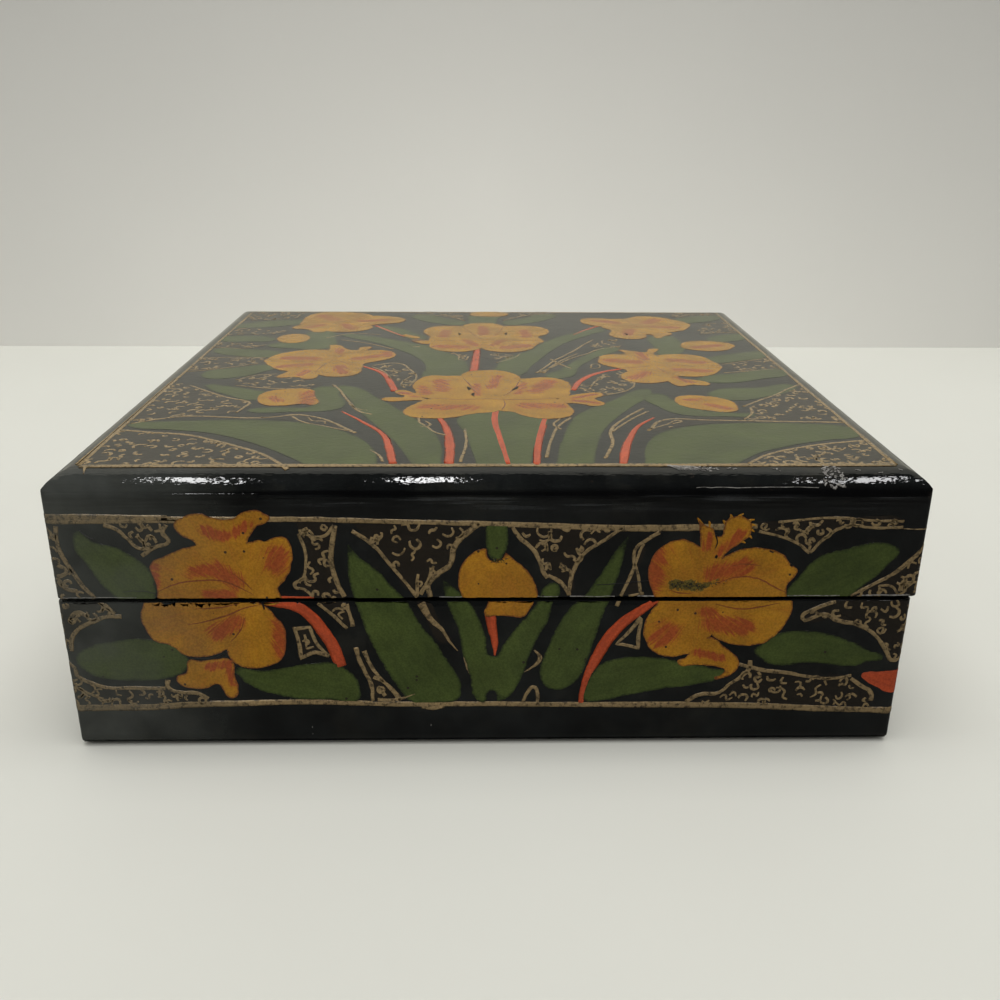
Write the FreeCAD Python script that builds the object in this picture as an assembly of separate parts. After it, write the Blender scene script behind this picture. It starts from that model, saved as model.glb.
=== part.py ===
import FreeCAD, Part

import math
import os

from FreeCAD import Vector

# A square lacquered box with a hinged lid, of the kind made in Kashmir. Thin boards are lapped
# and glued into a tray and a deep lid, and both are covered inside and out with papier mache.
# Two small brass butt hinges, let into the rear rims, join them. Millimetres; +Z is up, -Y is
# the front, and the origin is the centre of the base's underside.

# The case
box_width = 151.6
box_depth = 152.4
base_height = 30.0
lid_height = 23.2
seam_gap = 0.5
lid_extra_width = 0.8  # the lid stands this far past the base on the right, and is flush on the left

# What the case is built from
skin_thickness = 0.8
rim_skin = 0.5
lining_thickness = 0.5
underside_sheet = 0.8
wall_board = 5.0
floor_board = 4.0
top_board = 6.0

# Joints between the boards
corner_lap = 2.5  # thickness left on the front and back boards over the side boards' ends
floor_lap = 2.5  # how far the floor board runs into the walls
top_step = 1.5  # how far the top board drops inside the lid's walls

# Edges. The lid's top rolls over into a fine crease on its sides, and its run is wider than its
# drop. The foot's edge is a plain quarter round.
lid_edge_run = 5.5
lid_edge_drop = 3.5
foot_round = 2.5
corner_round = 1.5
rim_bevel = 0.3
rear_bevel = 0.65  # the two rear bevels come together when the lid is laid back
board_relief = 0.3  # the boards are rounded this much more than the skin over them
lining_cove = 1.2  # the linings run round the inside corners at this radius

# Hinges
hinge_inset = 17.3  # from the base's side to the hinge's end
hinge_length = 25.0
leaf_thickness = 0.8
leaf_margin = 0.2
pin_radius = 0.6
pin_clearance = 0.03
pin_overhang = 0.4
pin_bevel = 0.15
barrel_inset = 0.7  # the pin lies this far inside the box's back face
barrel_clearance = 0.25
knuckles = 5
knuckle_gap = 0.14
roll_gap_degrees = 75.0  # the part of the eye that its rolled end leaves open
mortise_clearance = 0.12

# Hinge screws, two to a leaf
screw_inset = 4.5  # from the hinge's end
screw_length = 7.0
screw_radius = 0.65
screw_head_radius = 1.25
screw_clearance = 0.05
screw_slot_width = 0.36
screw_slot_depth = 0.28

# Planes that follow from the sizes above
left = -box_width / 2
right = box_width / 2
front = -box_depth / 2
back = box_depth / 2
lid_right = right + lid_extra_width
base_rim = base_height
lid_rim = base_rim + seam_gap
top = lid_rim + lid_height
wall = skin_thickness + wall_board
floor = underside_sheet + floor_board
ceiling = top - skin_thickness - top_board
eye_radius = pin_radius + pin_clearance
barrel_radius = eye_radius + leaf_thickness
axis_y = back - barrel_inset
axis_z = base_rim + seam_gap / 2
leaf_reach = wall - barrel_inset - leaf_margin
beyond = 5.0  # how far a cutter runs past what it cuts
level = 0.01  # an edge that rises less than this lies level


def block(x0, x1, y0, y1, z0, z1):
    return Part.makeBox(x1 - x0, y1 - y0, z1 - z0, Vector(x0, y0, z0))


def rod(x0, x1, y, z, radius):
    return Part.makeCylinder(radius, x1 - x0, Vector(x0, y, z), Vector(1, 0, 0))


def line(start, end):
    return Part.LineSegment(start, end).toShape()


def arc(start, middle, end):
    return Part.Arc(start, middle, end).toShape()


def tidy(shape):
    # Clean solids, without the seams that cuts leave between their faces.
    solids = shape.removeSplitter().Solids
    return solids[0] if len(solids) == 1 else Part.makeCompound(solids)


def upright_edges(body):
    return [e for e in body.Edges if e.BoundBox.ZLength > level]


def level_edges(body, z):
    return [e for e in body.Edges if abs(e.BoundBox.ZMin - z) < level and abs(e.BoundBox.ZMax - z) < level]


# A half of the case seen along one axis: square at its rim, and rolled over into its flat face by
# an arc that leaves the face level. Where run and drop are alike, that is a quarter round.
def rolled_outline(low, high, face, rim, run, drop, at):
    inward = math.copysign(1, rim - face)
    radius = (run**2 + drop**2) / (2 * drop)
    half_turn = math.atan2(drop, run)
    shoulder = face + inward * drop
    ease = run - radius * math.sin(half_turn)
    dip = face + inward * radius * (1 - math.cos(half_turn))
    edges = [
        line(at(low, rim), at(low, shoulder)),
        arc(at(low, shoulder), at(low + ease, dip), at(low + run, face)),
        line(at(low + run, face), at(high - run, face)),
        arc(at(high - run, face), at(high - ease, dip), at(high, shoulder)),
        line(at(high, shoulder), at(high, rim)),
        line(at(high, rim), at(low, rim)),
    ]
    return Part.Face(Part.Wire(edges))


# A block with that outline seen both ways, so that its rolled edges meet in mitres.
def rolled_block(x0, x1, y0, y1, face, rim, run, drop, corner=0.0, bevel=0.0):
    body = block(x0, x1, y0, y1, min(face, rim), max(face, rim))
    if corner:
        body = body.makeFillet(corner, upright_edges(body))
    if bevel:
        body = body.makeChamfer(bevel, level_edges(body, rim))
    across = rolled_outline(x0, x1, face, rim, run, drop, lambda u, z: Vector(u, y0, z))
    along = rolled_outline(y0, y1, face, rim, run, drop, lambda u, z: Vector(x0, u, z))
    body = body.common(across.extrude(Vector(0, y1 - y0, 0)))
    return tidy(body.common(along.extrude(Vector(x1 - x0, 0, 0))))


# The bevel that lets the lid lie back, as a prism to cut from a rear rim.
def rear_bevel_cut(rim, side):
    corner = Vector(left - beyond, back, rim)
    along_back, along_rim = Vector(0, 0, -side * rear_bevel), Vector(0, -rear_bevel, 0)
    outside = Vector(0, rear_bevel, side * rear_bevel)
    points = [corner + along_back, corner + along_rim, corner + along_rim + outside]
    points += [corner + outside, corner + along_back + outside]
    prism = Part.Face(Part.makePolygon(points + points[:1]))
    return prism.extrude(Vector(box_width + lid_extra_width + 2 * beyond, 0, 0))


# The outer form of each half, and the form of its boards, between the skin and the lining.
def base_form():
    body = rolled_block(
        left, right, front, back, 0, base_rim, foot_round, foot_round, corner_round, rim_bevel
    )
    return body.cut(rear_bevel_cut(base_rim, 1))


def lid_form():
    body = rolled_block(
        left, lid_right, front, back, top, lid_rim, lid_edge_run, lid_edge_drop, corner_round, rim_bevel
    )
    return body.cut(rear_bevel_cut(lid_rim, -1))


def under_skin(west, east):
    s = skin_thickness
    return west + s, east - s, front + s, back - s


def base_core():
    turn = foot_round - skin_thickness + board_relief
    return rolled_block(*under_skin(left, right), underside_sheet, base_rim - rim_skin, turn, turn)


def lid_core():
    less = skin_thickness - board_relief
    run, drop = lid_edge_run - less, lid_edge_drop - less
    return rolled_block(*under_skin(left, lid_right), top - skin_thickness, lid_rim + rim_skin, run, drop)


# Four boards lapped at the corners: the front and back run full width over the sides' ends.
def wall_boards(west, east, low, high):
    x0, x1, y0, y1 = under_skin(west, east)
    sides = {
        "left_board": block(x0, x0 + wall_board, y0 + corner_lap, y1 - corner_lap, low, high),
        "right_board": block(x1 - wall_board, x1, y0 + corner_lap, y1 - corner_lap, low, high),
    }
    ends = {
        "front_board": block(x0, x1, y0, y0 + wall_board, low, high),
        "back_board": block(x0, x1, y1 - wall_board, y1, low, high),
    }
    for name, board in ends.items():
        ends[name] = board.cut(list(sides.values()))
    return {**ends, **sides}


def between_boards(west, east, grow=0.0):
    # The boards' inner faces as x0, x1, y0, y1, moved outwards by grow.
    return west + wall - grow, east - wall + grow, front + wall - grow, back - wall + grow


# The base's floor is let into a rabbet round the walls' feet.
def base_boards():
    floor_piece = block(*between_boards(left, right, floor_lap), underside_sheet, floor)
    boards = wall_boards(left, right, underside_sheet, base_rim)
    boards = {name: board.cut(floor_piece) for name, board in boards.items()}
    boards["floor_board"] = floor_piece
    return boards


# The lid's top lies over its walls, and a step drops between them.
def lid_boards():
    panel = block(*under_skin(left, lid_right), ceiling, top - skin_thickness)
    step = block(*between_boards(left, lid_right), ceiling - top_step, ceiling)
    boards = wall_boards(left, lid_right, lid_rim, ceiling)
    boards["top_board"] = panel.fuse(step)
    return boards


# The linings are trays of pasted paper, open at the rim and coved in their inside corners.
def lining(west, east, face, rim):
    outward = math.copysign(1, rim - face)
    tray = block(*between_boards(west, east), min(face, rim), max(face, rim))
    sides = between_boards(west, east, -lining_thickness)
    bottom, mouth = face + outward * lining_thickness, rim + outward * beyond
    return tray.cut(rolled_block(*sides, bottom, mouth, lining_cove, lining_cove, lining_cove))


# A hinge leaf is drawn as its end view, with the eye rolled round the pin, and drawn out along x.
# side is 1 for the base's leaf, which lies under the pin, and -1 for the lid's, which lies over it.
def leaf_section(side):
    def at(u, v):
        return Vector(0, axis_y - u, axis_z + side * v)

    def polar(degrees, radius):
        turn = math.radians(degrees)
        return at(radius * math.cos(turn), radius * math.sin(turn))

    start = -90.0
    end = start - (360.0 - roll_gap_degrees)
    half = (start + end) / 2
    outer_start, outer_end = at(0, -barrel_radius), polar(end, barrel_radius)
    inner_start, inner_end = at(0, -eye_radius), polar(end, eye_radius)
    tip_under, tip_over = at(leaf_reach, -barrel_radius), at(leaf_reach, -eye_radius)
    edges = [
        line(tip_under, outer_start),
        arc(outer_start, polar(half, barrel_radius), outer_end),
        line(outer_end, inner_end),
        arc(inner_end, polar(half, eye_radius), inner_start),
        line(inner_start, tip_over),
        line(tip_over, tip_under),
    ]
    return Part.Face(Part.Wire(edges))


def screw_places(hinge_x):
    reach = hinge_length / 2 - screw_inset
    y = axis_y - (barrel_radius + leaf_reach) / 2
    return [(hinge_x - reach, y), (hinge_x + reach, y)]


# A countersunk wood screw with its head level with the leaf or, grown by room, the hole for it.
def screw(x, y, side, room=0.0):
    shank = screw_radius + room
    corners = [
        Vector(0, 0, room),
        Vector(screw_head_radius + 2 * room, 0, room),
        Vector(shank, 0, screw_radius - screw_head_radius),
        Vector(shank, 0, -screw_length - room),
        Vector(0, 0, -screw_length - room),
    ]
    section = Part.Face(Part.makePolygon(corners + corners[:1]))
    body = section.revolve(Vector(0, 0, 0), Vector(0, 0, 1), 360)
    if room == 0:
        half = screw_slot_width / 2
        body = body.cut(block(-beyond, beyond, -half, half, -screw_slot_depth, beyond))
    if side < 0:
        body = body.mirror(Vector(0, 0, 0), Vector(0, 0, 1))
    body.translate(Vector(x, y, axis_z - side * eye_radius))
    return tidy(body)


def hinge_leaf(hinge_x, side):
    x0 = hinge_x - hinge_length / 2
    leaf = leaf_section(side).extrude(Vector(hinge_length, 0, 0))
    leaf.translate(Vector(x0, 0, 0))
    pitch = hinge_length / knuckles
    first_gap = 1 if side > 0 else 0
    y_clear = axis_y - barrel_radius - barrel_clearance
    for n in range(first_gap, knuckles, 2):
        start = x0 + n * pitch - (knuckle_gap / 2 if n else beyond)
        stop = x0 + (n + 1) * pitch + (knuckle_gap / 2 if n < knuckles - 1 else beyond)
        leaf = leaf.cut(block(start, stop, y_clear, back + beyond, axis_z - beyond, axis_z + beyond))
    for x, y in screw_places(hinge_x):
        leaf = leaf.cut(screw(x, y, side, screw_clearance))
    return tidy(leaf)


def hinge_pin(hinge_x):
    half = hinge_length / 2 + pin_overhang
    pin = rod(hinge_x - half, hinge_x + half, axis_y, axis_z, pin_radius)
    return pin.makeChamfer(pin_bevel, [e for e in pin.Edges if e.BoundBox.XLength < level])


# What the hinge takes out of a rim: an open mortise as deep as the leaf lies, room for the barrel
# and the pin's ends, and a pilot hole for each screw.
def hinge_recess(hinge_x, side):
    half = hinge_length / 2 + mortise_clearance
    edge = axis_z - side * barrel_radius
    low, high = min(edge, axis_z), max(edge, axis_z)
    mortise = block(hinge_x - half, hinge_x + half, back - wall - beyond, back + beyond, low, high)
    reach = hinge_length / 2 + pin_overhang + barrel_clearance
    radius = barrel_radius + barrel_clearance
    barrel = rod(hinge_x - reach, hinge_x + reach, axis_y, axis_z, radius)
    holes = [screw(x, y, side, screw_clearance) for x, y in screw_places(hinge_x)]
    return mortise.fuse([barrel, *holes])


hinge_offset = hinge_inset + hinge_length / 2
hinge_places = {"left": left + hinge_offset, "right": right - hinge_offset}
parts = {}


def add_half(half, side, outer, core, boards, paper, opening):
    # The recesses are cut last, as the hinges are let into a case that is already covered.
    recesses = [hinge_recess(x, side) for x in hinge_places.values()]
    for name, board in boards.items():
        board = board.common(core)
        parts[f"{half}_{name}"] = board.cut(recesses) if name == "back_board" else board
    parts[f"{half}_paper_skin"] = outer.cut([core, opening, *recesses])
    parts[f"{half}_paper_lining"] = paper.cut(recesses)


# Base
base_outer = base_form()
sheet_slab = block(left, right, front, back, 0, underside_sheet)
parts["base_underside_paper"] = base_outer.common(sheet_slab)
base_paper = lining(left, right, floor, base_rim)
base_opening = block(*between_boards(left, right), floor, base_rim)
base_outer = base_outer.cut(sheet_slab)
add_half("base", 1, base_outer, base_core(), base_boards(), base_paper, base_opening)

# Lid
lid_paper = lining(left, lid_right, ceiling - top_step, lid_rim)
lid_opening = block(*between_boards(left, lid_right), lid_rim, ceiling)
add_half("lid", -1, lid_form(), lid_core(), lid_boards(), lid_paper, lid_opening)

# Hinges
for place, x in hinge_places.items():
    parts[f"hinge_{place}_pin"] = hinge_pin(x)
    for half, side in (("base", 1), ("lid", -1)):
        parts[f"hinge_{place}_{half}_leaf"] = hinge_leaf(x, side)
        screws = [screw(sx, sy, side) for sx, sy in screw_places(x)]
        parts[f"hinge_{place}_{half}_screws"] = Part.makeCompound(screws)

os.makedirs("parts", exist_ok=True)
for name, shape in parts.items():
    shape = tidy(shape)
    shape.exportStep(f"parts/{name}.step")
    print(f"{name}: {len(shape.Solids)} solid, {shape.Volume:.1f} mm3, valid {shape.isValid()}")
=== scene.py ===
import math
import random

import bmesh
import bpy
from mathutils import Matrix, Vector, kdtree, noise


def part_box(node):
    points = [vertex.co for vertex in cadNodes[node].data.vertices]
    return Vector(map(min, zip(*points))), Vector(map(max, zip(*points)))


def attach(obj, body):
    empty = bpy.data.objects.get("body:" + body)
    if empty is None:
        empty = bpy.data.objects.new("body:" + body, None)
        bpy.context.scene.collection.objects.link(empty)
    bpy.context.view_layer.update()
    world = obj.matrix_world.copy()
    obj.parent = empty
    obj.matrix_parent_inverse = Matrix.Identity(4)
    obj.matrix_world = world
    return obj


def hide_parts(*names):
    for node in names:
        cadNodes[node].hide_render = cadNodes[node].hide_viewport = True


# A lacquered box from Kashmir, painted with irises. The boards, hinges and linings come with the
# frame and get their finishes here. The two skins are remade with worn, uneven edges, and the
# painting lies on them as thin layers of paint, one piece to a colour and half of the box.
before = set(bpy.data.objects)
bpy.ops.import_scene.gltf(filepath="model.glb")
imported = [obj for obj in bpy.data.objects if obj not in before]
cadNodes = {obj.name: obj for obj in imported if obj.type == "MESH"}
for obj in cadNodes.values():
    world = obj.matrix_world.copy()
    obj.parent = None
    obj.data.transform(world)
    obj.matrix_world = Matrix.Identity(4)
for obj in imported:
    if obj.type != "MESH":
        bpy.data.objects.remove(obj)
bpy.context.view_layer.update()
mm = 0.001
print("frame loaded")


# The case as the frame has it, in millimetres
def boxInMm(node):
    low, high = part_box(node)
    return low / mm, high / mm


baseLow, baseHigh = boxInMm("base_paper_skin")
lidLow, lidHigh = boxInMm("lid_paper_skin")
case = {
    "baseRim": baseHigh.z,
    "lidRim": lidLow.z,
    "top": lidHigh.z,
    "cornerRound": 1.5,
    "edgeRun": 5.5,
    "edgeDrop": 3.5,
    "skinInset": 0.14,  # the skins lie this far inside the frame's, which leaves room for the paint
}
edgeRadius = (case["edgeRun"] ** 2 + case["edgeDrop"] ** 2) / (2 * case["edgeDrop"])
creaseHeight = case["top"] - case["edgeDrop"]

# Where the photo was taken from
photoView = {"place": (-1.5, -235.0, 110.6), "pitch": 21.165, "yaw": 1.2554, "roll": 0.3756, "lens": 36.14}


def addCamera():
    camera = bpy.data.objects.new("photoCamera", bpy.data.cameras.new("photoCamera"))
    bpy.context.scene.collection.objects.link(camera)
    camera.data.lens = photoView["lens"]
    camera.data.sensor_width = 36.0
    camera.data.clip_start, camera.data.clip_end = 0.01, 10.0
    turn = Matrix.Rotation(-math.radians(photoView["yaw"]), 4, "Z")
    turn @= Matrix.Rotation(math.radians(90 - photoView["pitch"]), 4, "X")
    turn @= Matrix.Rotation(math.radians(photoView["roll"]), 4, "Z")
    camera.matrix_world = Matrix.Translation(Vector(photoView["place"]) * mm) @ turn
    bpy.context.scene.camera = camera


addCamera()
print("camera set")


# Shader helpers. An input is given a value or another node's output.
def plug(tree, socket, value):
    if isinstance(value, bpy.types.NodeSocket):
        tree.links.new(value, socket)
    else:
        socket.default_value = value


def addNode(tree, kind, inputs=None, **settings):
    node = tree.nodes.new("ShaderNode" + kind)
    for name, value in settings.items():
        setattr(node, name, value)
    for name, value in (inputs or {}).items():
        plug(tree, node.inputs[name], value)
    return node


def maths(tree, operation, a, b=0.5, c=0.0, clamp=False):
    node = addNode(tree, "Math", {0: a, 1: b, 2: c}, operation=operation, use_clamp=clamp)
    return node.outputs[0]


def ramped(tree, value, low, high, start=0.0, end=1.0):
    ends = {"Value": value, "From Min": low, "From Max": high, "To Min": start, "To Max": end}
    return addNode(tree, "MapRange", ends, clamp=True).outputs["Result"]


def mixed(tree, factor, a, b, blend="MIX"):
    inputs = {0: factor, 6: a, 7: b}  # a colour mix has its two colours at 6 and 7
    return addNode(tree, "Mix", inputs, data_type="RGBA", blend_type=blend).outputs[2]


# The scales of every noise are in steps to the metre
def noisy(tree, vector, scale, detail=3.0, roughness=0.5):
    inputs = {"Vector": vector, "Scale": scale, "Detail": detail, "Roughness": roughness}
    return addNode(tree, "TexNoise", inputs).outputs["Fac"]


def stretchedNoise(tree, vector, scales, detail=3.0, roughness=0.5):
    mapping = addNode(tree, "Mapping", {"Vector": vector, "Scale": scales})
    return noisy(tree, mapping.outputs[0], 1.0, detail, roughness)


def axesOf(tree, vector):
    return addNode(tree, "SeparateXYZ", {0: vector}).outputs


def greyOf(tree, value):
    return addNode(tree, "CombineColor", {"Red": value, "Green": value, "Blue": value}).outputs[0]


def painted(tree, name):
    return addNode(tree, "Attribute", attribute_name=name).outputs["Fac"]


def newGroup(name, inputs, outputs):
    tree = bpy.data.node_groups.new(name, "ShaderNodeTree")
    kinds = {"vector": "NodeSocketVector", "value": "NodeSocketFloat", "color": "NodeSocketColor"}
    for socketName, kind in inputs.items():
        tree.interface.new_socket(name=socketName, in_out="INPUT", socket_type=kinds[kind])
    for socketName, kind in outputs.items():
        tree.interface.new_socket(name=socketName, in_out="OUTPUT", socket_type=kinds[kind])
    return tree, tree.nodes.new("NodeGroupInput").outputs, tree.nodes.new("NodeGroupOutput").inputs


def addGroup(tree, group, inputs):
    node = tree.nodes.new("ShaderNodeGroup")
    node.node_tree = group
    for name, value in inputs.items():
        plug(tree, node.inputs[name], value)
    return node.outputs


def rgb(r, g, b):
    return (r, g, b, 1.0)


def tinted(color, red, green=None, blue=None):
    factors = (red, red if green is None else green, red if blue is None else blue)
    return rgb(*(part * factor for part, factor in zip(color, factors)))


# The lacquer over everything: slow waves from the brush, a fine crinkle, dust, and a gloss that
# varies with handling. Sparkle is a still finer crinkle, which breaks up what the lacquer mirrors.
lacquerFinish = {
    # the scale of each unevenness, then how high it stands
    "waves": (55.0, 1.1),
    "strokes": ((90.0, 90.0, 420.0), 0.28),
    "crinkle": (900.0, 0.30),
    "dust": (420.0, 0.05),
    "sparkle": ((700.0, 2300.0, 2300.0), 0.30),
    "wrinkles": ((50.0, 50.0, 1500.0), 0.8),
    "smears": 38.0,  # marks of handling, which only change the gloss
    "ior": 1.5,
}


def lacquerGroup():
    amounts = dict.fromkeys(["Crinkle", "Gloss", "Handling", "Wrinkle", "Sparkle"], "value")
    outputs = {"Roughness": "value", "Height": "value"}
    tree, given, out = newGroup("lacquer", {"Vector": "vector", **amounts}, outputs)
    place = given["Vector"]
    dust = {"Vector": place, "Scale": lacquerFinish["dust"][0], "Randomness": 1.0}
    dust = addNode(tree, "TexVoronoi", dust).outputs["Distance"]
    parts = {
        "waves": noisy(tree, place, lacquerFinish["waves"][0], 2.0),
        "strokes": stretchedNoise(tree, place, lacquerFinish["strokes"][0]),
        "crinkle": noisy(tree, place, lacquerFinish["crinkle"][0], 3.0, 0.6),
        "dust": ramped(tree, dust, 0.0, 0.10, 1.0, 0.0),
        "sparkle": stretchedNoise(tree, place, lacquerFinish["sparkle"][0], 1.0),
        "wrinkles": stretchedNoise(tree, place, lacquerFinish["wrinkles"][0]),
    }
    for part, amount in (("crinkle", "Crinkle"), ("sparkle", "Sparkle"), ("wrinkles", "Wrinkle")):
        parts[part] = maths(tree, "MULTIPLY", parts[part], given[amount])
    height = maths(tree, "MULTIPLY", parts.pop("waves"), lacquerFinish["waves"][1])
    for part, value in parts.items():
        height = maths(tree, "MULTIPLY_ADD", value, lacquerFinish[part][1], height)
    smears = ramped(tree, noisy(tree, place, lacquerFinish["smears"], 5.0, 0.65), 0.42, 0.72)
    rough = maths(tree, "MULTIPLY_ADD", smears, given["Handling"], given["Gloss"])
    tree.links.new(rough, out["Roughness"])
    tree.links.new(height, out["Height"])
    return tree


# Fine grain in a colour: dark pits and pale flecks, and a slow drift from place to place. The
# front gets a painted shade towards its right end, and a pale painted haze of light at its left end.
paintGrain = {
    "driftScale": 160.0,
    "fleckScale": 3000.0,
    "flecks": (0.84, 1.16),  # the darkest and the palest
    "pitScale": 620.0,
    "pitSize": 0.16,
    "pitShare": 0.1,
    "pitColor": (0.02, 0.014, 0.01),
    "front": (-0.070, -0.0745),  # y where the front begins, and where it is wholly the front
    # painted shade: how the front darkens towards its right end
    "paintedShadeRight": (0.005, 0.075, 0.2),  # x where it begins, x where it is full, and how dark
    # painted light: a pale haze over the left end of the front
    "paintedHaze": (-0.042, -0.074),  # x where it begins and where it is full
    "paintedHazeScale": 90.0,
    "paintedHazeDepth": (0.25, 0.65),
    "paintedHazeColor": (0.090, 0.095, 0.085),
}


def grainGroup():
    tree, given, out = newGroup(
        "paint grain",
        {"Vector": "vector", "Color": "color", "Drift": "value", "Pits": "value"},
        {"Color": "color"},
    )
    place = given["Vector"]
    drift = ramped(tree, noisy(tree, place, paintGrain["driftScale"], 4.0), 0.3, 0.7, -1.0, 1.0)
    lighter = maths(tree, "MULTIPLY_ADD", drift, given["Drift"], 1.0)
    fine = noisy(tree, place, paintGrain["fleckScale"], 2.0)
    fine = ramped(tree, fine, 0.35, 0.65, *paintGrain["flecks"])
    at = axesOf(tree, place)
    onFront = ramped(tree, at["Y"], *paintGrain["front"])
    # painted shade towards the right end of the front
    start, end, depth = paintGrain["paintedShadeRight"]
    darker = maths(tree, "MULTIPLY", onFront, ramped(tree, at["X"], start, end))
    fine = maths(tree, "MULTIPLY", fine, maths(tree, "MULTIPLY_ADD", darker, -depth, 1.0))
    bright = maths(tree, "MULTIPLY", lighter, fine)
    color = mixed(tree, 1.0, given["Color"], greyOf(tree, bright), "MULTIPLY")
    cells = addNode(tree, "TexVoronoi", {"Vector": place, "Scale": paintGrain["pitScale"]}).outputs
    pits = maths(tree, "LESS_THAN", cells["Distance"], paintGrain["pitSize"])
    cellColor = addNode(tree, "SeparateColor", {"Color": cells["Color"]}).outputs[0]
    lucky = maths(tree, "GREATER_THAN", cellColor, 1 - paintGrain["pitShare"])
    pits = maths(tree, "MULTIPLY", maths(tree, "MULTIPLY", pits, lucky), given["Pits"])
    color = mixed(tree, pits, color, rgb(*paintGrain["pitColor"]))
    # painted light: a pale haze over the left end of the front
    paintedHaze = maths(tree, "MULTIPLY", ramped(tree, at["X"], *paintGrain["paintedHaze"]), onFront)
    cloudy = noisy(tree, place, paintGrain["paintedHazeScale"])
    paintedHaze = maths(tree, "MULTIPLY", paintedHaze, ramped(tree, cloudy, 0.3, 0.65, *paintGrain["paintedHazeDepth"]))
    tree.links.new(mixed(tree, paintedHaze, color, rgb(*paintGrain["paintedHazeColor"])), out["Color"])
    return tree


lacquer = lacquerGroup()
grain = grainGroup()


def newMaterial(name):
    material = bpy.data.materials.new(name)
    material.use_nodes = True
    tree = material.node_tree
    shader = tree.nodes["Principled BSDF"]
    place = addNode(tree, "TexCoord").outputs["Object"]
    return material, tree, shader, place


def addGrain(tree, shader, place, color, drift, pits):
    color = addGroup(tree, grain, {"Vector": place, "Color": color, "Drift": drift, "Pits": pits})["Color"]
    tree.links.new(color, shader.inputs["Base Color"])


def addBump(tree, shader, height, depth, strength=1.0):
    bump = addNode(tree, "Bump", {"Height": height, "Strength": strength, "Distance": depth * mm})
    tree.links.new(bump.outputs["Normal"], shader.inputs["Normal"])


def finishLacquer(
    tree, shader, place, gloss, crinkle=1.0, handling=0.10, depth=0.12, wrinkle=0.0, sparkle=0.0
):
    amounts = {"Crinkle": crinkle, "Handling": handling, "Wrinkle": wrinkle, "Sparkle": sparkle}
    coat = addGroup(tree, lacquer, {"Vector": place, "Gloss": gloss, **amounts})
    tree.links.new(coat["Roughness"], shader.inputs["Roughness"])
    addBump(tree, shader, coat["Height"], depth)
    shader.inputs["IOR"].default_value = lacquerFinish["ior"]


# The blue-black ground. A painted attribute on the skins, called wear, says where handling has
# cut through: first to a brown under-coat, then to the pale gesso. Another, called lumps, says
# where the rolled edge lies. The crease under it gets a painted shade, most so on the right, and the
# wrinkles below it a painted shade in their folds and a painted highlight on their ridges.
groundFinish = {
    "blotches": (0.8, 1.7),  # the darkest and the palest, as shares of the colour
    "blotchScale": 45.0,
    "grime": (3.4, 2.9, 2.3),
    "grimeScale": 85.0,
    "wornScale": 700.0,  # how finely the worn places are frayed
    "undercoat": (0.055, 0.04, 0.03),
    "gesso": (0.32, 0.29, 0.25),
    # painted shade in the crease under the rolled edge, and how far it reaches
    "creaseShadeColor": (0.0008, 0.0008, 0.001),
    "creaseShadeReach": (0.6, 1.5),  # millimetres, on the left and on the right
    "creaseShadeSpan": (-0.01, 0.05),  # x where the one gives way to the other
    "foldScale": (45.0, 45.0, 1300.0),
    "foldDrop": 0.6,  # how far the folds stray up and down, in millimetres
    "wrinkleBand": (46.6, 48.6, 49.4, 49.9),  # heights in millimetres: it grows from, to, and ends from, to
    # painted shade in the wrinkles' dark folds, and a painted highlight on their pale ones
    "foldShadeColor": (0.0010, 0.0010, 0.0012),
    "foldHighlightColor": (0.036, 0.038, 0.040),
}


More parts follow.
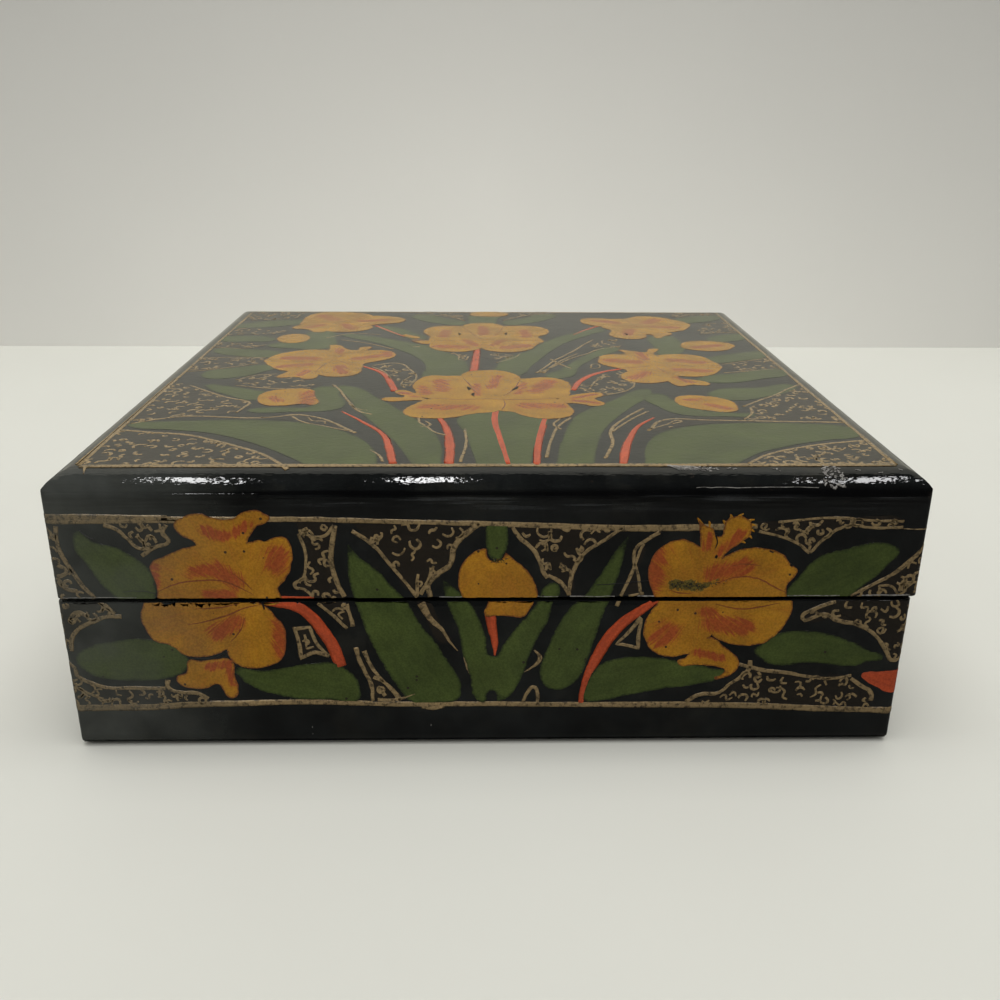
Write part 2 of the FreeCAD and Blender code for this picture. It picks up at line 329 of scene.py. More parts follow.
def lacquerGround(name, color, gloss=0.10):
    material, tree, shader, place = newMaterial(name)
    dark, pale = (tinted(color, share) for share in groundFinish["blotches"])
    blotches = noisy(tree, place, groundFinish["blotchScale"], 5.0, 0.6)
    base = mixed(tree, ramped(tree, blotches, 0.35, 0.65), dark, pale)
    grime = noisy(tree, place, groundFinish["grimeScale"], 6.0, 0.7)
    grime = ramped(tree, grime, 0.52, 0.72, 0.0, 0.7)
    base = mixed(tree, grime, base, tinted(color, *groundFinish["grime"]))
    ragged = noisy(tree, place, groundFinish["wornScale"], 5.0, 0.7)
    worn = maths(tree, "ADD", painted(tree, "wear"), maths(tree, "MULTIPLY_ADD", ragged, 1.6, -0.95))
    base = mixed(tree, ramped(tree, worn, 0.35, 0.5, 0.0, 0.85), base, rgb(*groundFinish["undercoat"]))
    base = mixed(tree, ramped(tree, worn, 0.62, 0.75, 0.0, 0.9), base, rgb(*groundFinish["gesso"]))
    at = axesOf(tree, place)
    folds = stretchedNoise(tree, place, groundFinish["foldScale"])
    drop = groundFinish["foldDrop"] * mm
    height = maths(tree, "MULTIPLY_ADD", folds, drop, maths(tree, "SUBTRACT", at["Z"], drop / 2))
    # painted shade along the crease, wider towards the right
    fromCrease = maths(tree, "ABSOLUTE", maths(tree, "SUBTRACT", height, creaseHeight * mm))
    short, long = groundFinish["creaseShadeReach"]
    toRight = ramped(tree, at["X"], *groundFinish["creaseShadeSpan"])
    reach = maths(tree, "MULTIPLY_ADD", toRight, (long - short) * mm, short * mm)
    crease = ramped(tree, fromCrease, 0.2 * mm, reach, 0.92, 0.0)
    base = mixed(tree, crease, base, rgb(*groundFinish["creaseShadeColor"]))
    low, full, fading, high = (level * mm for level in groundFinish["wrinkleBand"])
    wrinkled = maths(tree, "MULTIPLY", ramped(tree, height, low, full), ramped(tree, height, high, fading))
    # painted shade and painted highlight along the wrinkles
    inFoldShade = maths(tree, "MULTIPLY", wrinkled, ramped(tree, folds, 0.52, 0.60))
    base = mixed(tree, inFoldShade, base, rgb(*groundFinish["foldShadeColor"]))
    inFoldHighlight = maths(tree, "MULTIPLY", wrinkled, ramped(tree, folds, 0.46, 0.36, 0.0, 0.7))
    base = mixed(tree, inFoldHighlight, base, rgb(*groundFinish["foldHighlightColor"]))
    addGrain(tree, shader, place, base, 0.4, 0.3)
    lumps = painted(tree, "lumps")  # the rolled edge is the smoothest, and has a sparkle
    crinkle = maths(tree, "MULTIPLY_ADD", lumps, -0.7, 1.0)
    smooth = maths(tree, "MULTIPLY_ADD", lumps, -0.06, gloss)
    handling = maths(tree, "MULTIPLY_ADD", lumps, -0.07, 0.10)
    finishLacquer(tree, shader, place, smooth, crinkle, handling, wrinkle=wrinkled, sparkle=lumps)
    return material


# How near the edge of its shape a point lies, from 0 on the edge to 1, frayed by noise. The map
# called edge holds the distance in millimetres.
def frayedEdge(tree, place, width, fray):
    rough = ramped(tree, noisy(tree, place, 1500.0, 3.0, 0.7), 0.3, 0.7, -fray, fray)
    return ramped(tree, maths(tree, "ADD", painted(tree, "edge"), rough), 0.0, width)


# The streaks of the brush. The map called brush holds, in centimetres, how far along and across
# its shape a point lies.
def brushMap(tree):
    return addNode(tree, "UVMap", uv_map="brush").outputs[0]


def brushStreaks(tree, scales, detail, roughness):
    return ramped(tree, stretchedNoise(tree, brushMap(tree), scales, detail, roughness), 0.35, 0.7)


# A paint that covers evenly, with streaks left by the brush along each shape. Where it has gaps,
# the dark ground shows through.
def brushedPaint(name, color, darker, streak=0.6, pits=0.6, gloss=0.13, metal=0.0, gaps=0.0):
    material, tree, shader, place = newMaterial(name)
    streaks = brushStreaks(tree, (1.2, 14.0, 1.0), 4.0, 0.6)
    body = mixed(tree, maths(tree, "MULTIPLY", streaks, streak), rgb(*color), rgb(*darker))
    if gaps:
        thin = ramped(tree, noisy(tree, place, 1400.0, 4.0, 0.7), 0.5, 0.62, 0.0, gaps)
        body = mixed(tree, thin, body, rgb(0.02, 0.015, 0.011))
    addGrain(tree, shader, place, body, 0.14, pits)
    shader.inputs["Metallic"].default_value = metal
    finishLacquer(tree, shader, place, gloss)
    return material


# On the top each paint is toned as painted light and shade for how the light falls there, each paint in its
# own way
topLightTone = {"heights": (52.5, 53.2), "leaf": (0.86, 0.84, 0.74), "petal": (0.88, 0.98, 0.8), "blush": 0.12}


def onTop(tree, place):
    return ramped(tree, axesOf(tree, place)["Z"], *(height * mm for height in topLightTone["heights"]))


# The leaves: olive in the middle, thinning to near black at the edges
def leafPaint(name, color, darker, edgeColor):
    material, tree, shader, place = newMaterial(name)
    streaks = brushStreaks(tree, (1.0, 11.0, 1.0), 5.0, 0.65)
    patches = ramped(tree, noisy(tree, place, 110.0, 4.0, 0.6), 0.35, 0.68)
    both = maths(tree, "MULTIPLY_ADD", streaks, 0.5, maths(tree, "MULTIPLY", patches, 0.5))
    body = mixed(tree, both, rgb(*color), rgb(*darker))
    body = mixed(tree, frayedEdge(tree, place, 0.55, 0.1), rgb(*edgeColor), body)
    # painted shade on the top: the leaf colour is multiplied down there
    body = mixed(tree, onTop(tree, place), body, rgb(*topLightTone["leaf"]), "MULTIPLY")
    addGrain(tree, shader, place, body, 0.18, 0.9)
    finishLacquer(tree, shader, place, 0.13)
    return material


# The petals: ochre with rust brushed over it. The streaks fan out from the heart of the flower,
# and the attribute called blush says where the rust lies thickest.
def petalPaint(name, color, deep, orange, rust):
    material, tree, shader, place = newMaterial(name)
    brush = brushMap(tree)
    away = addNode(tree, "VectorMath", {0: brush}, operation="NORMALIZE").outputs["Vector"]
    distance = addNode(tree, "VectorMath", {0: brush}, operation="LENGTH").outputs["Value"]
    heading = axesOf(tree, away)
    fan = addNode(tree, "CombineXYZ", {
        "X": maths(tree, "MULTIPLY", heading["X"], 15.0),
        "Y": maths(tree, "MULTIPLY", heading["Y"], 15.0),
        "Z": maths(tree, "MULTIPLY", distance, 0.9),
    }).outputs[0]
    streaks = noisy(tree, fan, 1.6, 3.0, 0.6)
    patches = ramped(tree, noisy(tree, place, 150.0, 3.0), 0.38, 0.66)
    body = mixed(tree, patches, rgb(*color), rgb(*deep))
    body = mixed(tree, ramped(tree, streaks, 0.45, 0.75, 0.0, 0.4), body, rgb(*orange))
    # painted light and shade on the top: the rust is weaker there and the petal colour is multiplied down
    topShare = onTop(tree, place)
    stronger = maths(tree, "MULTIPLY_ADD", topShare, -topLightTone["blush"], 1.0)
    blush = maths(tree, "MULTIPLY", painted(tree, "blush"), stronger)
    body = mixed(tree, ramped(tree, blush, 0.0, 0.7, 0.0, 0.55), body, rgb(*orange))
    bristles = maths(tree, "MULTIPLY_ADD", ramped(tree, streaks, 0.36, 0.64, -0.5, 0.5), 0.85, blush)
    body = mixed(tree, ramped(tree, bristles, 0.38, 0.82, 0.0, 0.92), body, rgb(*rust))
    body = mixed(tree, frayedEdge(tree, place, 0.4, 0.15), tinted(rust, 0.45, 0.7, 0.8), body)
    body = mixed(tree, topShare, body, rgb(*topLightTone["petal"]), "MULTIPLY")
    addGrain(tree, shader, place, body, 0.12, 0.9)
    finishLacquer(tree, shader, place, 0.15)
    return material


# The olive smear: mottled, with the petal showing through where it thins at the edges
def smearPaint(name, color, dark, under):
    material, tree, shader, place = newMaterial(name)
    mottled = ramped(tree, noisy(tree, place, 1500.0, 4.0, 0.7), 0.42, 0.56)
    body = mixed(tree, mottled, rgb(*dark), rgb(*color))
    body = mixed(tree, frayedEdge(tree, place, 0.25, 0.75), rgb(*under), body)
    addGrain(tree, shader, place, body, 0.14, 0.6)
    finishLacquer(tree, shader, place, 0.2)
    return material


paints = {
    "ground": lacquerGround("blackLacquer", (0.0044, 0.0050, 0.0049)),
    "leaf": leafPaint("leafGreen", (0.056, 0.077, 0.016), (0.034, 0.050, 0.011), (0.010, 0.014, 0.006)),
    "petal": petalPaint(
        "ochrePetal", color=(0.365, 0.168, 0.009), deep=(0.28, 0.122, 0.008),
        orange=(0.33, 0.105, 0.008), rust=(0.27, 0.052, 0.012),
    ),
    "olive": smearPaint("oliveSmear", (0.110, 0.078, 0.012), (0.022, 0.020, 0.006), (0.33, 0.15, 0.009)),
}
# colour, darker colour, streak, pits, gloss, metal and gaps
brushedPaints = {
    "patch": ("brownGround", (0.015, 0.011, 0.007), (0.007, 0.006, 0.005), 0.5, 0.3),
    "blush": ("rustBlush", (0.20, 0.055, 0.012), (0.12, 0.036, 0.010), 0.7, 0.4),
    "stem": ("coralStem", (0.42, 0.062, 0.018), (0.28, 0.045, 0.016), 0.8, 0.7),
    "gold": ("dullGold", (0.28, 0.197, 0.095), (0.18, 0.126, 0.058), 0.6, 0.8, 0.2, 0.15, 0.75),
    # pale marks: wear, and painted highlights along the lid's edges
    "scuff": ("paleScuffAndHighlight", (0.27, 0.26, 0.24), (0.15, 0.14, 0.13), 0.6, 0.8, 0.4, 0.0, 0.8),
    "crack": ("darkCrack", (0.004, 0.004, 0.004), (0.008, 0.007, 0.006), 0.5, 0.2, 0.5),
}
for paint, values in brushedPaints.items():
    paints[paint] = brushedPaint(*values)
print("paints mixed")


# Painting. Every shape is drawn flat, in millimetres, on the side where it belongs.
# Heights are those of each paint's surface over the black ground.
paintHeights = {
    "patch": 0.010, "leaf": 0.026, "stem": 0.036, "petal": 0.048, "gold": 0.036,
    "olive": 0.058, "blush": 0.062, "scuff": 0.043, "crack": 0.068,
}
brushwork = {
    "depth": 0.05,  # how far each layer runs down into the ground, so that no gap shows
    "wobble": 0.12,  # the brush strays this far from the line
    "wobbleScale": 0.9,
    "unevenness": 0.006,  # one shape of a colour stands this much higher than another
    "innerSteps": {"leaf": 1.4, "petal": 1.0, "olive": 0.4},  # these have inner points this far apart
    "curveSteps": 7,
    "merge": 0.0005,
    "shift": 0.43,  # the drawings were read this far to the left of the box
}
dice = random.Random(11)


# How far the hand strays at a place, from side to side and up and down
def sway(x, y, scale, seed, apart):
    return [noise.noise(Vector((x * scale, y * scale, seed + more))) for more in (0.0, apart)]


def strayed(point, amount, seed):
    x, y = point[:2]
    dx, dy = sway(x, y, brushwork["wobbleScale"], seed, 40.0)
    return x + dx * amount, y + dy * amount


def curveMesh(curve):
    holder = bpy.data.objects.new("drawing", curve)
    mesh = bpy.data.meshes.new_from_object(holder)
    bpy.data.objects.remove(holder)
    bpy.data.curves.remove(curve)
    for layer in list(mesh.uv_layers):
        mesh.uv_layers.remove(layer)
    closed = bmesh.new()
    closed.from_mesh(mesh)
    bmesh.ops.remove_doubles(closed, verts=closed.verts, dist=brushwork["merge"])
    bmesh.ops.recalc_face_normals(closed, faces=closed.faces)
    closed.to_mesh(mesh)
    closed.free()
    return mesh


def addSpline(curve, points, closed, radii=None):
    spline = curve.splines.new("BEZIER")
    spline.bezier_points.add(len(points) - 1)
    for n, (dot, point) in enumerate(zip(spline.bezier_points, points)):
        dot.co = (point[0], point[1], 0.0)
        handle = "VECTOR" if len(point) > 2 else "AUTO"
        dot.handle_left_type = dot.handle_right_type = handle
        dot.radius = radii[n] if radii else 1.0
    spline.use_cyclic_u = closed


# A sheet holds a mesh for each paint
def newSheet():
    return {paint: paintMesh() for paint in paintHeights}


def paintMesh():
    sketch = bmesh.new()
    sketch.loops.layers.uv.new("brush")
    sketch.verts.layers.float.new("edge")
    sketch.verts.layers.float.new("blush")
    return sketch


def smoothStep(value, low, high):
    t = min(max((value - low) / (high - low), 0.0), 1.0)
    return t * t * (3 - 2 * t)


# How strongly the rust lies at a point: each blush is a line from one point to another, with a width
def blushAt(point, blushes):
    most = 0.0
    for start, end, width in blushes:
        a, b = Vector(start), Vector(end)
        t = min(max((point - a).dot(b - a) / max((b - a).length_squared, 1e-6), 0.0), 1.0)
        most = max(most, 1 - smoothStep((point - a.lerp(b, t)).length, width * 0.5, width * 1.9))
    return most


# These faces, and their edges and corners, in an order that is the same on every run
def withEdges(faces):
    around = dict.fromkeys(edge for face in faces for edge in face.edges)
    around.update(dict.fromkeys(vert for face in faces for vert in face.verts))
    return [*faces, *around]


# Inner points for a filled shape, and how far in from the outline each one lies
def paintInside(mesh, blushes, step, others):
    sketch = bmesh.new()
    sketch.from_mesh(mesh)
    outline = kdtree.KDTree(len(sketch.verts))
    for n, vert in enumerate(sketch.verts):
        if not any(inside(vert.co.xy, other) for other in others):
            outline.insert((vert.co.x, vert.co.y, 0.0), n)
    outline.balance()
    geometry = withEdges([face for face in sketch.faces if face.normal.z > 0.5])  # under sides stay plain
    for axis, facing in enumerate((Vector((1, 0, 0)), Vector((0, 1, 0)))):
        spread = [vert.co[axis] for vert in sketch.verts]
        for n in range(math.ceil(min(spread) / step), math.floor(max(spread) / step) + 1):
            at = facing * n * step
            geometry = bmesh.ops.bisect_plane(sketch, geom=geometry, plane_co=at, plane_no=facing)["geom"]
    edge = sketch.verts.layers.float.new("edge")
    blush = sketch.verts.layers.float.new("blush")
    for vert in sketch.verts:
        vert[edge] = outline.find((vert.co.x, vert.co.y, 0.0))[2] or 0.0
        vert[blush] = blushAt(vert.co.xy, blushes)
    sketch.to_mesh(mesh)
    sketch.free()


def addToSheet(sheet, paint, mesh, root, direction):
    sketch = sheet[paint]
    start, firstVert = len(sketch.faces), len(sketch.verts)
    whole = "edge" not in mesh.attributes
    sketch.from_mesh(mesh)
    bpy.data.meshes.remove(mesh)
    sketch.faces.ensure_lookup_table()
    sketch.verts.ensure_lookup_table()
    if whole:
        edge = sketch.verts.layers.float["edge"]
        for vert in sketch.verts[firstVert:]:
            vert[edge] = 1.0
    brush = sketch.loops.layers.uv["brush"]
    ahead = Vector(direction).normalized()
    for face in sketch.faces[start:]:
        for loop in face.loops:
            away = Vector((loop.vert.co.x - root[0], loop.vert.co.y - root[1]))
            loop[brush].uv = (away.dot(ahead) / 10, (away.y * ahead.x - away.x * ahead.y) / 10)


# A filled shape through a few chosen points. A third number marks a sharp corner.
def fillShape(sheet, paint, points, root=None, blushes=(), others=()):
    seed = dice.random() * 90
    curve = bpy.data.curves.new("shape", "CURVE")
    curve.dimensions = "2D"
    curve.fill_mode = "BOTH"
    curve.resolution_u = brushwork["curveSteps"]
    height = paintHeights[paint] + dice.uniform(0, brushwork["unevenness"])
    curve.extrude = (height + brushwork["depth"]) / 2
    addSpline(curve, [(*strayed(p, brushwork["wobble"], seed), *p[2:]) for p in points], True)
    mesh = curveMesh(curve)
    lift = (height - brushwork["depth"]) / 2
    for vert in mesh.vertices:
        vert.co.x, vert.co.y = strayed(vert.co, brushwork["wobble"] * 1.3, seed + 7)
        vert.co.z += lift
    if paint in brushwork["innerSteps"]:
        paintInside(mesh, blushes, brushwork["innerSteps"][paint], others)
    far = max(points, key=lambda p: math.dist(p[:2], points[0][:2]))
    root = root or points[0]
    addToSheet(sheet, paint, mesh, root, (far[0] - points[0][0], far[1] - points[0][1]))


# Brush strokes, each a list of points with a width, or one width at each point
def brushStrokes(sheet, paint, strokes, ragged=0.0, steps=4, bold=1.0):
    curve = bpy.data.curves.new("strokes", "CURVE")
    curve.dimensions = "3D"
    curve.bevel_depth = 0.5
    curve.bevel_resolution = 1
    curve.resolution_u = steps
    curve.use_fill_caps = True
    for points, widths in strokes:
        if not isinstance(widths, (list, tuple)):
            widths = [widths * dice.uniform(1 - ragged, 1 + ragged) for _ in points]
        addSpline(curve, points, False, [width * bold for width in widths])
    mesh = curveMesh(curve)
    height = paintHeights[paint]
    for vert in mesh.vertices:
        vert.co.x, vert.co.y = strayed(vert.co, brushwork["wobble"] * 0.9, 3.0)
        if abs(vert.co.z) > 1e-4:  # the round stroke is pressed flat
            vert.co.z = height if vert.co.z > 0 else -brushwork["depth"]
    first, last = strokes[0][0][0], strokes[0][0][-1]
    addToSheet(sheet, paint, mesh, first, (last[0] - first[0] + 0.01, last[1] - first[1]))


def inside(point, outline):
    x, y = point
    odd = False
    for (x1, y1), (x2, y2) in zip(outline, outline[1:] + outline[:1]):
        if (y1 > y) != (y2 > y) and x < (x2 - x1) * (y - y1) / (y2 - y1) + x1:
            odd = not odd
    return odd


# Little wriggling strokes scattered over a patch of brown ground
def wriggles(outline, spacing, width, length):
    outline = [p[:2] for p in outline]
    low = [min(p[i] for p in outline) for i in (0, 1)]
    high = [max(p[i] for p in outline) for i in (0, 1)]
    area = (high[0] - low[0]) * (high[1] - low[1])
    middles, strokes = [], []
    for _ in range(int(area / spacing**2 * 12)):
        start = (dice.uniform(low[0], high[0]), dice.uniform(low[1], high[1]))
        heading = dice.uniform(0, 2 * math.pi)
        turn = dice.choice((-1, 1)) * dice.uniform(0.9, 1.9)
        if not inside(start, outline) or any(math.dist(start, m) < spacing for m in middles):
            continue
        points = [start]
        step = length / 3 * dice.uniform(0.6, 1.15)
        for _ in range(dice.choice((2, 3, 3, 4))):
            x, y = points[-1]
            points.append((x + step * math.cos(heading), y + step * math.sin(heading)))
            heading += turn
            turn *= dice.choice((-1, 1, 1)) * dice.uniform(0.7, 1.2)
        if all(inside(p, outline) for p in points):
            middles.append(start)
            size = width * dice.uniform(0.8, 1.15)
            strokes.append((points, [size * 0.75, *[size] * (len(points) - 2), size * 0.65]))
    return strokes


# Small dabs scattered along a line
def dabs(start, end, spread, count):
    strokes = []
    for _ in range(count):
        t = dice.random()
        x = start[0] + (end[0] - start[0]) * t + dice.gauss(0, spread)
        y = start[1] + (end[1] - start[1]) * t + dice.gauss(0, spread * 0.6)
        reached = (x + dice.uniform(0.1, 0.5), y + dice.uniform(-0.25, 0.25))
        strokes.append(([(x, y), reached], [dice.uniform(0.15, 0.4), 0.15]))
    return strokes


def drawSide(drawing):
    sheet = newSheet()
    bold = drawing.get("bold", 1.0)
    for patch in drawing["patches"]:
        fillShape(sheet, "patch", patch["outline"])
        marks = wriggles(patch["outline"], patch.get("spacing", 2.3), *drawing["wriggle"])
        if marks:
            brushStrokes(sheet, "gold", marks, steps=3)
    for leaf in drawing["leaves"]:
        fillShape(sheet, "leaf", leaf)
    for stem in drawing["stems"]:
        brushStrokes(sheet, "stem", [stem], steps=8)
    for flag in drawing.get("flags", []):
        fillShape(sheet, "stem", flag)
    for flower in drawing["flowers"]:
        for petal in flower["petals"]:
            others = [[p[:2] for p in other] for other in flower["petals"] if other is not petal]
            fillShape(sheet, "petal", petal, flower["heart"], flower.get("blush", []), others)
        if flower.get("whiskers"):
            brushStrokes(sheet, "petal", [(stroke, [0.6, 0.5, 0.2]) for stroke in flower["whiskers"]])
        for smudge in flower.get("smudges", []):
            fillShape(sheet, "olive", smudge)
        for smear in flower.get("smears", []):
            brushStrokes(sheet, "olive", dabs(*smear))
            brushStrokes(sheet, "crack", dabs(*smear[:3], smear[3] // 3))
        for vein in flower.get("veins", []):
            widths = [0.15, *[0.42] * (len(vein) - 2), 0.12]
            brushStrokes(sheet, "blush", [(vein, widths)], 0.3, 6, bold)
        for eyes in flower.get("eyes", []):
            brushStrokes(sheet, "crack", [eyes])
    if drawing["lines"]:
        brushStrokes(sheet, "gold", drawing["lines"], 0.18, 6, bold)
    for paint, marks in (("crack", "cracks"), ("scuff", "scuffs")):
        if drawing.get(marks):
            brushStrokes(sheet, paint, drawing[marks], 0.3, 6)
    for flat in sheet.values():
        bmesh.ops.translate(flat, vec=(brushwork["shift"], 0, 0), verts=flat.verts)
    return sheet


